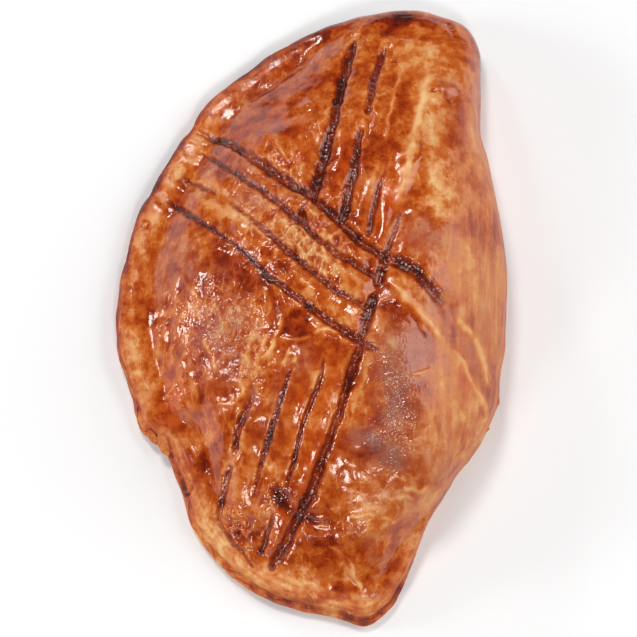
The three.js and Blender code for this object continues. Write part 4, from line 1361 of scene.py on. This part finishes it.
class TurnoverLook(bpy.types.PropertyGroup):
    """Colours of the bake and of the painted reflection and glints, and strength of its fine relief."""

    brown: colour_property("Brown", "Middle tone of the glazed crust", paint(183, 80, 20))
    red_brown: colour_property("Red brown", "Darker tone of the glaze", paint(160, 56, 10))
    orange: colour_property("Orange", "Lighter tone of the glaze", paint(203, 108, 44))
    deep_orange: colour_property("Deep orange", "Thick clear glaze", paint(192, 66, 6))
    mahogany: colour_property("Mahogany", "Well browned glaze", paint(128, 34, 4))
    golden: colour_property("Golden", "Thinly glazed dough", paint(221, 146, 82))
    cream: colour_property("Cream", "Bare leaves and pale lines", paint(238, 190, 130))
    fold: colour_property("Fold", "Matt skin of the folded side", paint(200, 128, 84))
    # Painted reflection: this is the colour of reflected light painted into the crust, not a colour of the
    # glaze.
    sheen: colour_property("Sheen", "Purplish cast of the thick glaze", paint(160, 94, 80))
    # Painted reflection and painted highlight: the dull purple and the grey stand for light that the grains
    # reflect.
    painted_dull_reflection: colour_property("Dull purple", "Glaze with specks in it", paint(146, 98, 88))
    painted_glint: colour_property("Grey", "Glittering specks", paint(214, 196, 190))
    score_edge: colour_property("Score edge", "Dark sides of the scores", paint(100, 24, 4))
    # Burnt is also used as painted shade on the groove walls.
    burnt: colour_property("Burnt", "Darkest parts of the scores", paint(70, 17, 6))
    floor: colour_property("Tabletop", "Colour of the floor", paint(250, 250, 250))
    bake: bpy.props.FloatProperty(
        name="Bake", description="How pale the crust is, from 0, burnt, to 1, raw",
        default=0.47, min=0.0, max=1.0, subtype="FACTOR",
    )
    relief: bpy.props.FloatProperty(
        name="Fine relief", description="Strength of the finest unevenness",
        default=1.0, min=0.0, max=1.0, subtype="FACTOR",
    )


# ---------------------------------------------------------------- operators

class TURNOVER_OT_crust(bpy.types.Operator):
    """Build the glazed crust as one closed skin"""

    bl_idname = "turnover.crust"
    bl_label = "Glazed crust"

    def execute(self, context):
        forget_selection()
        bpy.ops.mesh.primitive_grid_add(
            x_subdivisions=CELLS_ACROSS, y_subdivisions=CELLS_ALONG, size=2
        )
        piece = context.object
        piece.name = "crust"
        piece.data.name = "crust"
        self.extrude_sides()
        self.place_points(piece.data, context.scene.turnover_sizes)
        finish_piece(piece, pastry_material("Glazed crust", context.scene.turnover_look), 75)
        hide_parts("pastry")
        return {"FINISHED"}

    @staticmethod
    def extrude_sides():
        """Extrudes the grid's rim down, one step of depth for each ring, and closes it."""
        bpy.ops.object.mode_set(mode="EDIT")
        bpy.ops.mesh.select_mode(type="VERT")
        bpy.ops.mesh.select_all(action="SELECT")
        bpy.ops.mesh.region_to_loop()
        bpy.ops.mesh.select_mode(type="EDGE")
        for _ in range(SIDE_RINGS + len(UNDERSIDE_RINGS) + 1):
            bpy.ops.mesh.extrude_region_move(TRANSFORM_OT_translate={"value": (0, 0, -1)})
        bpy.ops.mesh.merge(type="CENTER")
        bpy.ops.mesh.select_all(action="SELECT")
        bpy.ops.mesh.normals_make_consistent(inside=False)
        bpy.ops.object.mode_set(mode="OBJECT")

    @staticmethod
    def place_points(mesh, sizes):
        """Moves every point from the grid to the crust, then adds the relief."""
        square = points_of(mesh)
        ring = np.rint(-square[:, 2]).astype(int)
        out = np.minimum(np.abs(square[:, :2]).max(1), 1)
        share_round = way_round(square[:, :2])
        degrees = degrees_round(share_round)
        brink = sections_at(degrees)["brink"]
        rim = edge_place(degrees, brink)
        share = plan_share(ray_table(), share_round, out)
        place = np.zeros_like(square)
        place[:, :2] = GRID_CENTRE + share[:, None] * (rim[:, :2] - GRID_CENTRE)
        place[:, 2], inside, directions = crust_height(place[:, 0], place[:, 1])
        on_rim = (ring == 0) & (out > 1 - 1e-6)
        place[on_rim] = rim[on_rim]
        last = len(SECTIONS["fold"]["edge"]) - 1
        on_side = (ring > 0) & (ring <= SIDE_RINGS)
        index = mix(brink, last, ring / SIDE_RINGS)
        place[on_side] = edge_place(degrees[on_side], index[on_side])
        foot = edge_place(degrees, np.full(len(degrees), float(last)))
        for step, size in enumerate(UNDERSIDE_RINGS, SIDE_RINGS + 1):
            on_ring = ring == step
            place[on_ring, :2] = GRID_CENTRE + size * (foot[on_ring, :2] - GRID_CENTRE)
            place[on_ring, 2] = 0
        place[ring > SIDE_RINGS + len(UNDERSIDE_RINGS)] = (*GRID_CENTRE, 0)
        inside = np.where(ring > 0, 0, inside)
        directions = np.where(ring > 0, degrees, directions)

        move_points(mesh, place)
        outward = normals_of(mesh)
        crust = Crust(place, inside, directions, smooth_step(place[:, 2], 0.2, 2.6), sizes)
        place += outward * (crust.shape() * sizes.relief)[:, None]
        place[:, 2] = np.maximum(place[:, 2], 0)
        place[:, :2] += plan_shift()
        move_points(mesh, place)
        for name, values in crust.masks.items():
            keep_mask(mesh, name, values)


class TURNOVER_OT_flakes(bpy.types.Operator):
    """Scatter the small lifted flakes round the edge"""

    bl_idname = "turnover.flakes"
    bl_label = "Small flakes"

    def execute(self, context):
        noise = Unevenness(78)
        forget_selection()
        bpy.ops.mesh.primitive_grid_add(x_subdivisions=8, y_subdivisions=6, size=1)
        pattern = context.object
        solid = pattern.modifiers.new("Thickness", "SOLIDIFY")
        solid.thickness = FLAKE_THICKNESS
        solid.offset = 0
        bpy.ops.object.modifier_apply(modifier=solid.name)
        pieces = []
        for count, flake in enumerate(SMALL_FLAKES):
            piece = pattern.copy()
            piece.data = pattern.data.copy()
            context.scene.collection.objects.link(piece)
            move_points(piece.data, self.shaped(points_of(piece.data), noise, count, *flake))
            pieces.append(piece)
        bpy.data.objects.remove(pattern)
        flakes = join_pieces(pieces, "small_flakes")
        finish_piece(flakes, pastry_material("Bare leaf", context.scene.turnover_look), 50)
        return {"FINISHED"}

    @staticmethod
    def shaped(place, noise, count, degrees, inset, height, length, width, lean, turn):
        """The pattern's points, rounded off, curled, leant and put at the edge."""
        place *= 1 - 0.45 * (2 * place[:, 1:2]) ** 2 * np.array([[1.0, 0, 0]])
        ragged = [noise(place * 3 + 10 * count + offset, 1.0) for offset in (0, 50)]
        place[:, :2] += 0.16 * np.stack(ragged, 1)
        place[:, 2] += 0.35 * (place[:, 0] + 0.5) ** 2 + 0.2 * noise(place * 2 + 7 * count, 1.0)
        place *= (width, length, 0.9)
        for axis, angle in ((2, turn), (1, lean)):
            place = turn_points(place, axis, angle)
        place += (outline_distance(degrees) - inset, 0, height)
        place = turn_points(place, 2, degrees)
        place[:, :2] += CREST + plan_shift()
        return place


class TURNOVER_OT_stage(bpy.types.Operator):
    """Lay the tabletop, hang the lights and set up the camera"""

    bl_idname = "turnover.stage"
    bl_label = "Tabletop, lights and camera"

    def execute(self, context):
        forget_selection()
        bpy.ops.mesh.primitive_circle_add(vertices=64, radius=2.5, fill_type="NGON")
        floor = context.object
        floor.name = "tabletop"
        bpy.ops.object.mode_set(mode="EDIT")
        bpy.ops.mesh.select_all(action="SELECT")
        bpy.ops.mesh.inset(thickness=1.6)
        bpy.ops.object.mode_set(mode="OBJECT")
        floor.data.materials.append(floor_material(context.scene.turnover_look))
        self.lights(context)
        self.camera(context)
        context.scene.view_settings.view_transform = "Standard"
        context.scene.view_settings.look = "None"
        return {"FINISHED"}

    @staticmethod
    def lights(context):
        """Faint white light from all round, and softboxes that the glaze reflects."""
        world = bpy.data.worlds.new("Soft studio")
        world.use_nodes = True
        background = world.node_tree.nodes["Background"]
        background.inputs["Color"].default_value = (1, 1, 1, 1)
        background.inputs["Strength"].default_value = WORLD_LIGHT
        context.scene.world = world
        for name, direction, distance, width, power in SOFTBOXES:
            data = bpy.data.lights.new(name, "AREA")
            data.shape = "SQUARE"
            data.size = width
            data.energy = power
            light = bpy.data.objects.new(name, data)
            context.scene.collection.objects.link(light)
            towards = Vector(direction).normalized()
            light.location = towards * distance
            light.rotation_euler = towards.to_track_quat("Z", "Y").to_euler()

    @staticmethod
    def camera(context):
        """The camera looks down from the front, 14 degrees off the vertical."""
        elevation = math.radians(CAMERA_ELEVATION)
        target = Vector(CAMERA_TARGET) + Vector((*plan_shift(), 0))
        eye = target + CAMERA_DISTANCE * Vector((0, -math.cos(elevation), math.sin(elevation)))
        data = bpy.data.cameras.new("camera")
        data.sensor_width = SENSOR_WIDTH
        data.lens = FOCAL_LENGTH * SENSOR_WIDTH / IMAGE_WIDTH
        data.clip_start = 0.01
        data.clip_end = 20
        camera = bpy.data.objects.new("camera", data)
        camera.location = eye * MM
        camera.rotation_euler = (eye - target).to_track_quat("Z", "Y").to_euler()
        context.scene.collection.objects.link(camera)
        context.scene.camera = camera


class TURNOVER_PT_panel(bpy.types.Panel):
    """Lists the pieces of the turnover and their settings"""

    bl_label = "Turnover"
    bl_idname = "TURNOVER_PT_panel"
    bl_space_type = "VIEW_3D"
    bl_region_type = "UI"
    bl_category = "Turnover"

    def draw(self, context):
        layout = self.layout
        for operator in OPERATORS:
            layout.operator(operator.bl_idname)
        for group in (context.scene.turnover_sizes, context.scene.turnover_look):
            for name in group.__annotations__:
                layout.prop(group, name)


OPERATORS = (TURNOVER_OT_crust, TURNOVER_OT_flakes, TURNOVER_OT_stage)
CLASSES = (TurnoverSizes, TurnoverLook, *OPERATORS, TURNOVER_PT_panel)


def register():
    """Registers the classes and their settings."""
    for kind in CLASSES:
        bpy.utils.register_class(kind)
    bpy.types.Scene.turnover_sizes = bpy.props.PointerProperty(type=TurnoverSizes)
    bpy.types.Scene.turnover_look = bpy.props.PointerProperty(type=TurnoverLook)


def unregister():
    """Removes the settings and the classes."""
    del bpy.types.Scene.turnover_look
    del bpy.types.Scene.turnover_sizes
    for kind in reversed(CLASSES):
        bpy.utils.unregister_class(kind)


def main():
    """Builds the pieces in order."""
    register()
    bpy.ops.turnover.crust()
    bpy.ops.turnover.flakes()
    bpy.ops.turnover.stage()


if __name__ == "__main__":
    main()
